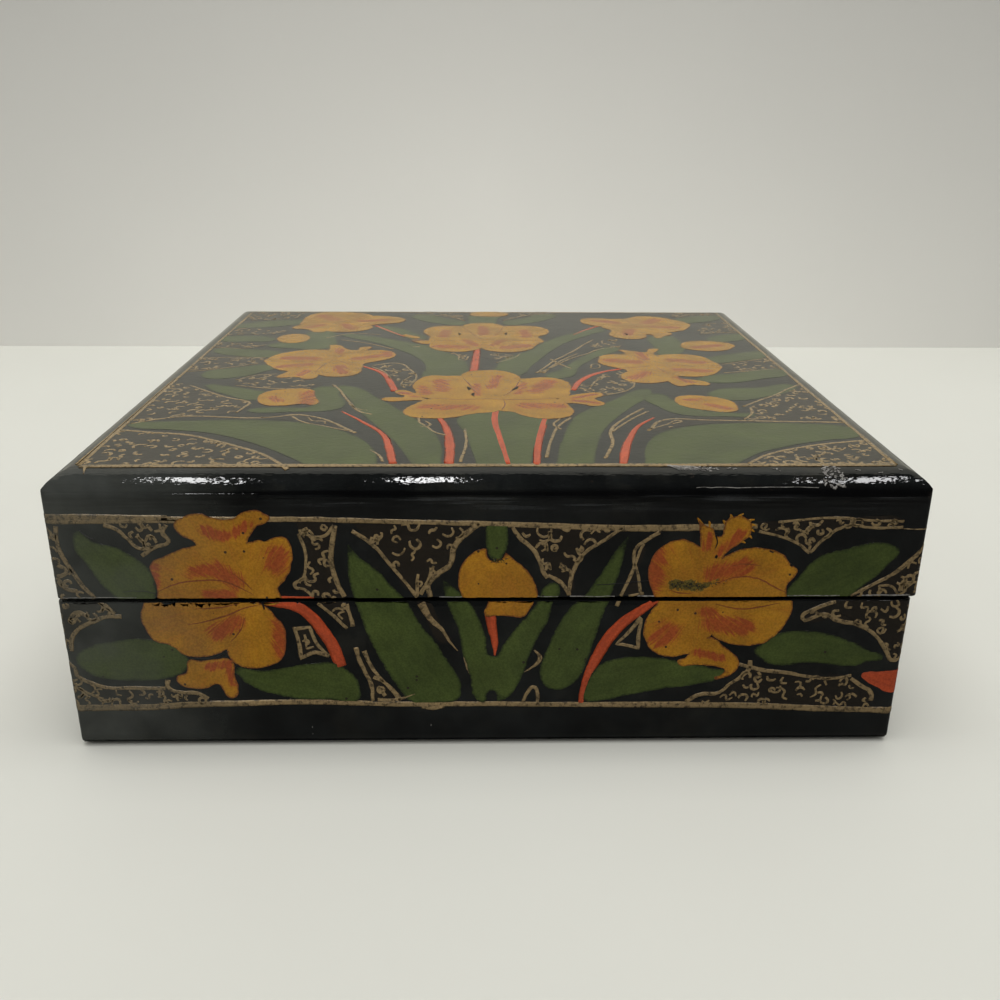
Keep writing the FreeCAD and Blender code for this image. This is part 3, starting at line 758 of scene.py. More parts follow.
# The front, from the photo. Points are x and z in millimetres.
frontDrawing = {
    "wriggle": (0.66, 3.2),  # width and length
    "bold": 1.08,
    "leaves": [
        [(-70.5, 43.4), (-68, 41.5), (-64.5, 40.5), (-61.1, 38.4), (-59.2, 36.3), (-58.3, 33.2),
         (-58.7, 30.3, 1), (-65.2, 30.3, 1), (-67.6, 33.2), (-69.7, 37.1), (-71.3, 39.8), (-71.5, 42.1)],
        [(-74.3, 18.6), (-73.6, 19.9), (-71.5, 21.2), (-67.2, 22.1), (-62.6, 22.7), (-59.5, 22.3),
         (-56.5, 21.3), (-54.9, 19.8), (-54.1, 17.8), (-54.9, 16.1), (-58, 14.7), (-62.6, 14.2),
         (-68.4, 14.4), (-72.2, 15.5)],
        [(-46.2, 16.2), (-41.5, 16.1), (-35.9, 16.9), (-32.1, 17.6), (-28.6, 17.5), (-25.9, 16.1),
         (-24.2, 14), (-23.6, 11.7), (-24.2, 9.7), (-29.4, 9.8), (-35.2, 10.1), (-39, 10.9), (-43.4, 12.7),
         (-45.5, 14.8)],
        [(-24.6, 41, 1), (-22.5, 38.4), (-19.8, 36.1), (-17.5, 33.2), (-15.2, 30.5), (-12.1, 24.8),
         (-9.8, 21.7), (-8, 18.6), (-6.3, 15.5), (-5.3, 12.4), (-6.2, 9.6), (-9, 9.2), (-14.4, 9.3),
         (-16.7, 12.1), (-18.6, 15.5), (-20.5, 19.4), (-22.1, 23.6), (-23.2, 27.5), (-24.2, 30.9),
         (-24.8, 35.5)],
        [(-8.3, 34.2, 1), (-6.3, 32.5), (-4.4, 30.5), (-2.8, 28.2), (-1.9, 26.3), (-0.9, 23.2), (0.3, 18.7),
         (2.3, 21.3), (4.2, 24), (6.5, 27.1), (8.3, 29.9), (9.4, 32.5), (11.6, 33.4), (12.3, 31.6),
         (11, 29.4), (10.4, 26.3), (9, 23.6), (7.9, 20.9), (6.9, 18.2), (6.2, 15.5), (5, 12.5), (2.5, 9.6),
         (1.2, 9.4), (1.2, 10.8), (0.3, 11.6), (-0.6, 10.8), (-0.8, 9.4), (-2.3, 9.5), (-3.8, 14.8),
         (-5, 19.4), (-5.9, 24.4), (-7.5, 29), (-8.2, 32)],
        [(-0.9, 44.7, 1), (2.9, 44.6, 1), (3, 41), (2.3, 39), (0.8, 37.4), (-0.4, 39), (-0.9, 42)],
        [(23.8, 42.4, 1), (23.3, 38.6), (22.5, 34.8), (21.3, 30.9), (19.9, 26.3), (18.8, 22.1), (17.7, 18.2),
         (16.4, 14.6), (15, 12.8), (12.3, 11.7), (10, 12.5), (8.9, 15.2), (9.6, 18.6), (10.8, 22.1),
         (12.3, 25.5), (14.2, 28.6), (16.5, 30.9), (18.5, 34), (20.4, 37.5), (22.1, 40.3)],
        [(43.8, 15.3), (41.3, 16), (38.5, 16.7), (34.6, 17.5), (31.5, 18.2), (27.7, 18.6), (23.8, 18.3),
         (20.4, 17.4), (18.5, 15.2), (17.4, 12.5), (17.2, 9.6), (21.5, 9.6), (24.6, 10.2), (28.8, 11.2),
         (33.8, 12.1), (39, 12.9), (42.1, 14)],
        [(71.6, 18), (68.6, 19.8), (65.9, 21.3), (62.8, 22.5), (59.8, 23.4), (55.5, 23.7), (51.7, 23.2),
         (49.4, 21.3), (47.8, 19.6), (49, 18.2), (50.9, 16.8), (53.2, 16.5), (56.7, 17), (60.5, 17),
         (63.6, 16.4), (66.7, 16.4), (69, 17.3)],
        [(71.4, 39.4), (69.5, 40.8), (65.9, 40.9), (62.1, 39.9), (58.2, 38.8), (55.9, 37.1), (54.4, 34.8),
         (52.6, 32.2), (52.3, 30.3, 1), (63.6, 30.3, 1), (65.9, 32.5), (68.2, 34.6), (69.8, 36.7)],
    ],
    "stems": [
        ([(-40, 30), (-37.5, 29.7), (-34.8, 29.2), (-32.4, 27.6), (-30, 24.3), (-28.1, 20.6), (-27, 16.8)],
         [1.5, 1.8, 2.0, 2.1, 2.3, 2.3, 2.2]),
        ([(-0.1, 27.6), (0.3, 24.5), (0.8, 21.5), (0.8, 18.9)], [2.0, 1.7, 1.2, 0.3]),
        ([(30, 30.4), (26.8, 28.0), (23.9, 25.7), (21.6, 22.9), (19.6, 19.2), (18, 15.2), (17.1, 12),
         (16.7, 8.9)], [1.0, 1.7, 2.0, 2.2, 2.1, 1.7, 1.2, 1.0]),
        ([(-40.6, 30.75), (-36, 30.8), (-31, 30.7)], 0.4),
    ],
    "flags": [  # the blunt coral shape that runs off round the corner
        [(68.3, 14.7), (69.4, 15.2), (71.6, 15.3), (77.4, 15.6, 1), (77.4, 10.9, 1), (73.4, 11.0),
         (71.0, 12.1), (69.1, 13.3)],
    ],
    "flowers": [
        {
            "heart": (-43, 30),
            "petals": [
                [(-53.9, 45.1), (-52.6, 45.9), (-49.5, 46.7), (-47.4, 45.9), (-44.3, 45.7), (-42.3, 46.8),
                 (-40.1, 47.3), (-38.4, 46.6), (-37.6, 45.7), (-38.9, 44.7), (-40.2, 44.1), (-41.2, 42.6),
                 (-41.9, 41.0), (-42.4, 38.5), (-46, 37), (-50, 39), (-51, 41.6), (-52.7, 42.5),
                 (-53.6, 43.4)],
                [(-59, 37.0), (-56.5, 38.6), (-53.4, 40), (-50.3, 40.7), (-46, 40.6), (-41.8, 41.1),
                 (-39, 41.5), (-38, 36), (-37.5, 30, 1), (-58.4, 30, 1), (-58.2, 33), (-58.6, 35)],
                [(-42, 41.0), (-39, 41.5), (-36.7, 42.3), (-35.2, 42.1), (-34.3, 40.2), (-34.5, 37.1),
                 (-35.7, 34.4), (-37.1, 32.5), (-36.9, 30.0), (-43, 30, 1), (-44, 36)],
                [(-60.8, 29.8, 1), (-61.7, 27.1), (-61.1, 24.4), (-59.9, 22.3), (-57.2, 21.3), (-54.9, 19.4),
                 (-52.2, 18.9), (-49.5, 19.3), (-47.4, 20.4), (-44, 22), (-42, 26), (-41, 29.8, 1)],
                [(-41, 29.8, 1), (-38.9, 28.4), (-38.1, 27), (-37.1, 25.9), (-36.5, 23.6), (-36.6, 20.9),
                 (-37.5, 18.6), (-39.2, 17.3), (-42.2, 16.5), (-44.9, 16.9), (-46.6, 18.4), (-47.2, 20.4),
                 (-46, 25), (-44, 29.8, 1)],
                [(-54.2, 18.2), (-54.9, 15.8), (-56.8, 14.8), (-56.3, 13.3), (-54.2, 12.4), (-51.5, 12.5),
                 (-49.4, 13.2), (-48.6, 12.1), (-47.9, 10.6), (-46.4, 10.5), (-45.8, 12.5), (-46.3, 15.2),
                 (-46.5, 18.2), (-49.5, 18.5), (-52, 18.1)],
            ],
            "blush": [
                ((-44.6, 33.8), (-47.4, 36.2), 1.4), ((-47.4, 36.2), (-52, 35.6), 0.9),
                ((-49.6, 31.4), (-45.4, 31.4), 0.8), ((-48.8, 43.6), (-46.3, 42.4), 0.9),
                ((-44.6, 42.6), (-41.6, 44.6), 0.7), ((-36.9, 37.0), (-37.0, 38.8), 1.8),
                ((-45.0, 26.0), (-48.6, 23.8), 1.3), ((-36.9, 25.8), (-37.1, 20.0), 1.6),
                ((-50.4, 16.8), (-47.2, 17.6), 0.8), ((-47.0, 17.4), (-46.8, 13.5), 0.7),
                ((-58.5, 33.5), (-58.8, 36.4), 0.9),
            ],
            "veins": [
                [(-58, 32), (-55, 33.4), (-51, 34.1), (-47, 34), (-44, 32.8), (-41.5, 31.2)],
                [(-44.9, 35.4), (-43, 33.8), (-41.6, 32.2)],
                [(-53.6, 25.4), (-50, 26.2), (-46.5, 27.3), (-43, 28.8), (-40.6, 29.4)],
                [(-52, 28.6), (-48, 28.8), (-44, 29.6)],
                [(-43.4, 26.8), (-44.6, 24), (-46.4, 22)],
            ],
            "eyes": [([(-54.4, 18.75), (-51.5, 18.45), (-49.2, 18.8), (-46.9, 20.1)], [0.2, 0.5, 0.5, 0.15])],
        },
        {
            "heart": (37.5, 30),
            "whiskers": [
                [(44.0, 44.8), (44.8, 45.3), (45.4, 45.4)], [(44.4, 44.2), (45.2, 44.4), (45.8, 44.2)],
                [(44.2, 43.4), (45.0, 43.4), (45.6, 43.1)], [(43.8, 42.4), (44.8, 42.3), (45.3, 41.9)],
                [(42.4, 45.4), (42.8, 46.1), (43.4, 46.5)], [(41.2, 45.2), (41.3, 45.9), (41.1, 46.4)],
                [(36.4, 44.4), (35.9, 45.2), (35.5, 45.7)], [(37.6, 43.8), (37.7, 44.6), (37.5, 45.1)],
                [(40.6, 44.2), (40.2, 44.9), (39.9, 45.3)], [(42.6, 41.2), (43.6, 41.3), (44.2, 41)],
            ],
            "petals": [
                [(38.8, 38.2), (36.9, 39.8), (35.4, 40.9), (33.5, 41.7), (31.5, 41.4), (29.3, 39.9),
                 (27.8, 37.1), (27.8, 34), (28.6, 31.5), (29.2, 30, 1), (38, 30, 1), (41, 33)],
                [(36.2, 42.8), (35.8, 45.3, 1), (37.1, 44.3), (38.4, 43.7), (39.0, 42.4), (39.8, 42.2),
                 (40.2, 43.6), (40.6, 45.3), (42.7, 46.0), (44.8, 44.9), (44.9, 42.6), (43.2, 40.9),
                 (41.2, 39.2), (39.6, 37.2), (37.4, 38.0), (36.4, 40.4)],
                [(38.8, 36.4), (41.7, 38.9), (44, 39.9), (46.7, 40.1), (49.4, 39.6), (51.3, 38.5),
                 (52.5, 37.1), (53.9, 35.6), (53.5, 34.4), (52.5, 32.9), (52.6, 30, 1), (37, 30, 1)],
                [(29.8, 29.8, 1), (28.1, 26.8), (27.4, 24), (28.1, 21.6), (29.2, 19.8), (31.9, 18.6),
                 (34.6, 18.8), (37.4, 20.2), (40, 24), (39, 29.8, 1)],
                [(53.7, 29.8, 1), (53.7, 27.8), (52.9, 25.2), (51.3, 22.8), (49, 21.2), (45.9, 20.8),
                 (42.8, 21.3), (40.5, 22.4), (38.4, 25), (37.4, 29.8, 1)],
                [(36.6, 20.4), (35.4, 18.4), (34, 17.5), (38.5, 16.8), (41, 16.4), (42.7, 15.8), (42.5, 14.9),
                 (41, 14), (42.5, 13.9), (44.2, 15), (45.3, 16.4), (45, 18), (43.8, 19.3), (42, 20.8),
                 (39.7, 22.6)],
            ],
            "blush": [
                ((28.0, 33.4), (28.6, 38.8), 1.9), ((39.0, 35.0), (44.8, 36.4), 1.4),
                ((39.8, 39.2), (43.2, 42.8), 0.7), ((37.8, 42.6), (37.4, 40.0), 0.5),
                ((30.6, 22.6), (31.6, 23.6), 1.8), ((39.4, 25.4), (45.4, 24.4), 1.4),
                ((38.0, 27.6), (39.4, 27.4), 0.9), ((37.4, 19.4), (42.0, 18.2), 0.7),
            ],
            "veins": [
                [(40, 33.4), (43, 34.4), (47, 34.2), (50, 32.6), (52.4, 31.4)],
                [(42, 36.6), (45, 37.0), (47.5, 36.6)],
                [(40, 29.2), (44, 28.2), (48, 28.6), (51.5, 29.4)],
                [(31.4, 32), (33.5, 31.4), (36, 31.4)],
            ],
            "smudges": [
                [(31.2, 32.7), (31.3, 33.6), (32.3, 34.2), (33.8, 34.0), (35.4, 34.2), (37, 33.5),
                 (38.6, 33.7), (40.4, 34.3, 1), (39, 32.8), (37.8, 31.9), (36.2, 31.5), (34.8, 31.9),
                 (33.4, 31.8), (32.2, 31.9)],
            ],
            "smears": [((31.6, 33.1), (36.8, 32.9), 0.7, 60), ((36.8, 32.2), (40.6, 33.8), 0.35, 26)],
            "eyes": [
                ([(39.1, 38.5), (39.5, 38.3)], [1.0, 0.8]),
                ([(52.4, 36.9), (52.9, 36.5)], [0.6, 0.4]),
                ([(48.6, 39.5), (49.3, 39.2)], [0.5, 0.4]),
                ([(38.9, 42.6), (39.3, 41.0), (39.0, 39.9)], [0.5, 0.35, 0.15]),
            ],
        },
        {
            "heart": (1.5, 38),
            "smears": [((0.0, 37.9), (2.0, 37.7), 0.35, 24)],
            "petals": [
                [(-4.9, 30.2, 1), (-5.6, 33), (-5.2, 36.6), (-3.3, 39), (-1.4, 40.1), (-0.7, 39.9, 1),
                 (-0.4, 38.3), (0.7, 37.4, 1), (2.0, 38.2), (2.7, 39.3, 1), (4.2, 37.8), (6.2, 36.1),
                 (7.7, 33.6), (8.4, 30.9), (8.3, 30.2, 1)],
                [(-0.4, 29.8, 1), (7.6, 29.8, 1), (7.2, 28.6), (5.7, 26.7), (3.8, 26.8), (0.9, 27.1),
                 (-0.9, 26.9)],
            ],
        },
    ],
    "patches": [
        {"outline": [(-77.4, 45, 1), (-74, 44.4), (-74.2, 41.7), (-73.8, 39), (-72.6, 36.3), (-71.1, 33.2),
            (-69.2, 30, 1), (-77.4, 30, 1)]},
        {"outline": [(-66, 44.9, 1), (-63.8, 43.8), (-62.2, 42.1), (-60.5, 39.7), (-57.6, 40.5),
            (-55.3, 41.5), (-56.1, 43.2), (-55.3, 45, 1)], "spacing": 1.7},
        {"outline": [(-77.4, 30, 1), (-68.2, 30, 1), (-65.6, 27.2), (-67.6, 27.1), (-70.3, 26.1), (-73, 24.6),
            (-74.5, 22.5), (-77.4, 20, 1)]},
        {"outline": [(-77.4, 17.4, 1), (-74.5, 15.2), (-72.2, 13.6), (-69.5, 12.5), (-65.7, 12.5),
            (-59, 12.5), (-56.5, 11.5), (-51.5, 10.3), (-51, 9, 1), (-77.4, 8.6, 1)], "spacing": 1.7},
        {"outline": [(-33.2, 45.2, 1), (-32.1, 40.2), (-32.1, 36.7), (-33.8, 33), (-30.6, 30.2),
            (-27.8, 27.1), (-25.2, 24.8), (-25.3, 29), (-26.5, 32.5), (-27.3, 35.2), (-27.7, 38.6),
            (-26.6, 45.2, 1)], "spacing": 1.9},
        {"outline": [(-23.6, 44.8, 1), (-20.2, 40.9), (-17.5, 37.3), (-13, 31.4), (-10.7, 33.6), (-9.4, 35.2),
            (-7.1, 37.1), (-6.3, 40.5), (-4.4, 42.8), (-1.9, 44.6, 1)]},
        {"outline": [(3.8, 44.3, 1), (7.3, 40), (9.4, 35.2), (12.3, 33.6), (13.8, 31.4), (14.8, 36.7),
            (16.5, 39.4), (22.7, 43.9, 1)], "spacing": 1.9},
        {"outline": [(-34.8, 24.9, 1), (-34, 22.1), (-34, 18.4, 1), (-31.7, 19.8), (-29.2, 19.1),
            (-31.3, 21.7), (-32.5, 24.7, 1)], "spacing": 9},
        {"outline": [(-23.9, 20, 1), (-22.5, 15.2), (-21.6, 9.4, 1), (-17, 9.4, 1), (-19.8, 14)], "spacing":
            9},
        {"outline": [(-13, 30, 1), (-10.6, 30, 1), (-8.6, 24.8), (-7.2, 21.8)], "spacing": 9},
        {"outline": [(25.2, 40, 1), (26.4, 40.8), (25.8, 36), (26.8, 31.2, 1), (23.4, 31, 1), (25.2, 36)],
            "spacing": 9},
        {"outline": [(36.2, 8.8, 1), (42.1, 10.9), (44, 12.7), (46.1, 14.6), (47.3, 16.1), (49.8, 15.5),
            (54.4, 15), (58.2, 14.2), (66.3, 14.2), (68.2, 12.3), (70.5, 10.5), (70.6, 7.6, 1)], "spacing":
            1.75},
        {"outline": [(55.9, 26.5), (58.2, 28.2), (62, 30, 1), (77.4, 30, 1), (77.4, 18, 1), (73.2, 17.8),
            (72.1, 19.4), (70.5, 21.7), (68.6, 23.6), (65.9, 25), (62.1, 26)], "spacing": 1.9},
        {"outline": [(63.6, 30.2, 1), (77.4, 30.2, 1), (77.4, 40.4, 1), (73.6, 37.5), (71.3, 35.2),
            (68.2, 33.2)], "spacing": 2.0},
        {"outline": [(46, 44.9, 1), (45.6, 43.6), (50, 42.2), (53, 41.2), (55.6, 39.4), (58, 41.6),
            (60, 43.4), (71, 44.2), (71, 45.2), (60, 45.6)], "spacing": 1.5},
    ],
    "lines": [
        ([(-78, 45.9), (-68, 46.0), (-63, 45.9), (-55, 45.7)], 1.1),
        ([(-78, 45.2), (-66, 45.2), (-56, 45.3), (-50, 45.3)], 0.8),
        ([(-56, 45.6), (-46, 45.5), (-36, 45.6), (-26, 45.4), (-16, 45.1), (-6, 44.8), (4, 44.5), (14, 44.1),
          (24, 43.8), (34, 43.9), (40, 44.0), (46, 44.1)], [1.0, 1.1, 0.9, 0.9, 0.85, 0.9, 1.0, 1.05, 1.1,
          1.15, 1.1, 0.9]),
        ([(49.6, 44.9), (53, 45.2), (57, 45.6), (61, 45.6), (65, 45.2), (71.4, 45.0)], 0.5),
        ([(60, 43.6), (62.5, 44.3), (66, 43.8), (71.4, 43.9)], 0.55),
        ([(71.4, 43.6), (78, 43.4)], 0.2),
        ([(46.4, 43.2), (49.5, 42.4), (53, 41.1), (55.7, 39.1)], 0.55),
        ([(60, 43.6), (58, 41.9), (55.7, 39.1)], 0.6),
        ([(-78, 8.3), (-70, 8.5), (-63, 8.5), (-55, 9.0), (-45, 9.2), (-36, 9.4), (-28, 9.3), (-20, 8.9),
          (-12, 8.8), (0, 8.8), (10, 8.6), (20, 8.5), (34, 8.4), (50, 8.1), (60, 7.5), (70, 7.1), (78, 6.7)],
          [1.4, 1.35, 1.4, 1.25, 1.2, 1.0, 1.1, 0.95, 1.05, 0.95, 0.95, 1.0, 1.2, 1.25, 1.3, 1.2, 1.3]),
        ([(-12.6, 8.3), (-10.4, 8.0), (-8.4, 8.4)], 0.8),
        ([(-74, 44.4), (-74.2, 41.7), (-73.8, 39), (-72.6, 36.3), (-71.1, 33.2), (-69.2, 30.6)], 0.85),
        ([(-68.6, 30), (-67.5, 29), (-66.2, 27.6)], 0.9),
        ([(-65.1, 27.1), (-67.6, 27.1), (-70.3, 26.1), (-73, 24.6), (-74.5, 22.5), (-74.8, 20.2)], 0.85),
        ([(-65.9, 44.6), (-63.8, 43.8), (-62.2, 42.1), (-60.5, 40.3), (-58, 40.3)], 0.75),
        ([(-55.3, 44.6), (-56.1, 43.2), (-55.3, 41.5), (-57.6, 40.5), (-60.1, 38.8)], 0.8),
        ([(-60.4, 42.9), (-59.6, 41.4), (-58.3, 42.6), (-57.2, 41.3)], 0.6),
        ([(-58.4, 44.4), (-57.8, 43.5)], 0.6),
        ([(-74.7, 37.1), (-73.4, 35.9), (-75.1, 34.8)], 0.8),
        ([(-75.3, 34), (-73.8, 32.5), (-72, 32.1)], 0.8),
        ([(-74.2, 26.6), (-72.8, 27.9), (-70.7, 27.1)], 0.8),
        ([(-76.5, 17.9), (-74.9, 16.9), (-74.5, 15.2), (-72.2, 13.6), (-69.5, 12.6), (-65.7, 12.5),
          (-59, 12.4)], 0.8),
        ([(-58.4, 14.2), (-58.5, 12.6), (-56.5, 11.6), (-53.4, 11.3), (-51.5, 10.2)], 0.8),
        ([(-74.6, 12.6), (-72.6, 11.2), (-70.4, 10.3)], 0.6),
        ([(-33, 42.9), (-32.1, 40.2), (-32.1, 36.7), (-32.8, 34.4), (-34.3, 33), (-32.6, 32.3),
          (-31.2, 30.8)], 0.6),
        ([(-30.4, 29.6), (-27.8, 27.1), (-25.5, 24.6)], 0.7),
        ([(-32.2, 43.8), (-31.2, 42.6), (-28.8, 42.4), (-26.8, 44.4)], 0.7),
        ([(-26.7, 44.4), (-27.3, 41.3), (-27.7, 38.6), (-27.3, 35.2), (-26.5, 32.5), (-25.7, 30.8)], 0.9),
        ([(-25.4, 29.4), (-24.9, 27.1), (-24.5, 25)], 0.7),
        ([(-23.8, 43.4), (-20.2, 40.7), (-17.5, 37.1), (-15.2, 34), (-12.9, 30.8)], 0.75),
        ([(-1.9, 44.7), (-4.4, 42.8), (-6.3, 40.5), (-7.1, 37.1), (-9.4, 35.2), (-10.9, 33.2), (-10.6, 30.8)],
          1.0),
        ([(-10.3, 36.4), (-10.6, 34.6), (-12.4, 31.3)], 0.8),
        ([(-12.7, 35.2), (-12.9, 32.9), (-12.9, 31.2)], 0.6),
        ([(-12.2, 29.6), (-10.6, 26.3), (-8.6, 24.2), (-7.5, 22.1), (-5.9, 20)], [1.4, 1.1, 0.7, 0.5, 0.15]),
        ([(-4.8, 18.6), (-4.4, 17), (-3.9, 15.4)], [0.15, 0.35, 0.1]),
        ([(-34.9, 24.9), (-34.3, 22.1), (-34.0, 18.6, 1), (-31.7, 19.7), (-29.0, 19.0, 1)], 0.75),
        ([(-29.2, 19.2), (-31.1, 21.5), (-32.2, 24.8, 1), (-34.7, 24.5, 1)], 0.7),
        ([(-33.2, 23.4), (-32.9, 21.6, 1), (-33.0, 20.6, 1), (-31.6, 20.9)], 0.5),
        ([(-24.2, 20.7), (-23.6, 18.2), (-22.5, 15.2), (-21.7, 13.2), (-21.5, 9.6)], 0.75),
        ([(-22.7, 20), (-21.7, 17.1), (-19.8, 14), (-17.5, 11.3), (-16.6, 9.8)], 0.75),
        ([(-20.6, 9.8), (-17.5, 9.7), (-13.8, 11)], [0.8, 0.8, 0.15]),
        ([(-21.2, 14.6), (-19.4, 13.6)], 0.7),
        ([(-20.5, 12.6), (-20.1, 12.0), (-19.2, 10.6)], 0.8),
        ([(3.8, 44), (5, 42.1), (7.3, 40), (8.5, 37.8), (9.4, 35.2), (10, 34.4)], 0.7),
        ([(10, 34.9), (12.3, 33.6), (13.7, 31.5)], 0.75),
        ([(22.7, 43.9), (19.2, 41.3), (16.5, 39.4), (14.8, 36.7), (14, 33.6), (13.8, 31)], 0.75),
        ([(29.2, 43.1), (26.9, 41.5), (25.2, 40), (25, 37.8), (25.6, 35.9), (26.5, 31.3)], 0.6),
        ([(26.5, 40.9), (25.7, 38.6), (24.6, 34.8), (23.0, 30.8)], 0.6),
        ([(22.8, 30), (22.4, 28.8)], 0.7),
        ([(24.4, 30.9), (27.1, 31.3)], 0.5),
        ([(26.9, 26.6), (25.0, 23.8), (22.7, 21.2, 1), (24.6, 20.9), (26.7, 20.3, 1), (26.6, 23),
          (27.0, 26.4)], 0.6),
        ([(7.9, 20), (9, 18.4), (8.3, 17.1), (6.2, 15.5)], [0.3, 0.8, 0.6, 0.15]),
        ([(6, 9.2), (6.9, 11.3), (7.9, 12.3), (8.7, 10.9), (8.5, 8.2)], 0.6),
        ([(36.2, 9), (38.5, 10.5), (42.1, 10.9), (44, 12.7), (46.1, 14.4), (47.3, 16.1), (47.3, 17.7)], 0.75),
        ([(45.3, 16.9), (49.8, 15.6), (54.4, 15), (58.2, 14.2), (62.8, 13.8), (66.3, 14.4)], 0.75),
        ([(66.3, 13.8), (68.2, 12.3), (70.5, 10.5), (70.5, 9)], 0.8),
        ([(61.5, 29.6), (58.2, 28.2), (55.9, 26.3), (59.8, 27.1), (62.1, 25.9), (65.9, 25), (68.6, 23.6),
          (70.5, 21.7), (72.1, 19.4), (73.2, 17.7), (75.4, 18)], 0.8),
        ([(76.4, 40.6), (73.6, 37.5), (71.3, 35.2), (68.2, 33.2), (64, 30.8)], 0.7),
        ([(72.6, 31.6), (72.8, 33.2), (74.4, 34.6), (74.6, 33.4), (73.4, 32.2)], 0.7),
        ([(68.6, 32.6), (70.9, 32.6), (72.4, 31.0)], 0.6),
    ],
    "cracks": [
        ([(-64.3, 31.9), (-61.5, 32.1), (-58.6, 31.7)], 0.16),
        ([(18.5, 33), (23.8, 33.4), (27.7, 33.8)], 0.16),
        ([(-70.1, 43.6), (-69.2, 42.6), (-67.8, 41.9)], 0.25),
        ([(-40.1, 29.8), (-39.9, 28.4)], 0.6),
    ],
    "scuffs": [
        # a pale line along the lid's lower edge: worn paint, and a painted highlight
        ([(-75, 30.75), (-70, 30.8), (-62, 30.8)], 0.2),
        ([(-9, 30.8), (-2, 30.75), (6, 30.8), (12, 30.75)], 0.22),
        ([(14, 30.8), (22, 30.75)], 0.16),
        ([(26, 30.8), (33, 30.8), (42, 30.75), (50, 30.8)], 0.26),
        ([(52, 30.8), (58, 30.8), (62, 30.75)], 0.3),
        ([(66, 30.8), (74.6, 30.85)], 0.3),
        ([(-11, 4.3), (-10.9, 4.3)], 0.3),
        ([(-33, 4), (-32.9, 4)], 0.25),
        ([(-33, 2.5), (-32.9, 2.5)], 0.2),
    ],
}


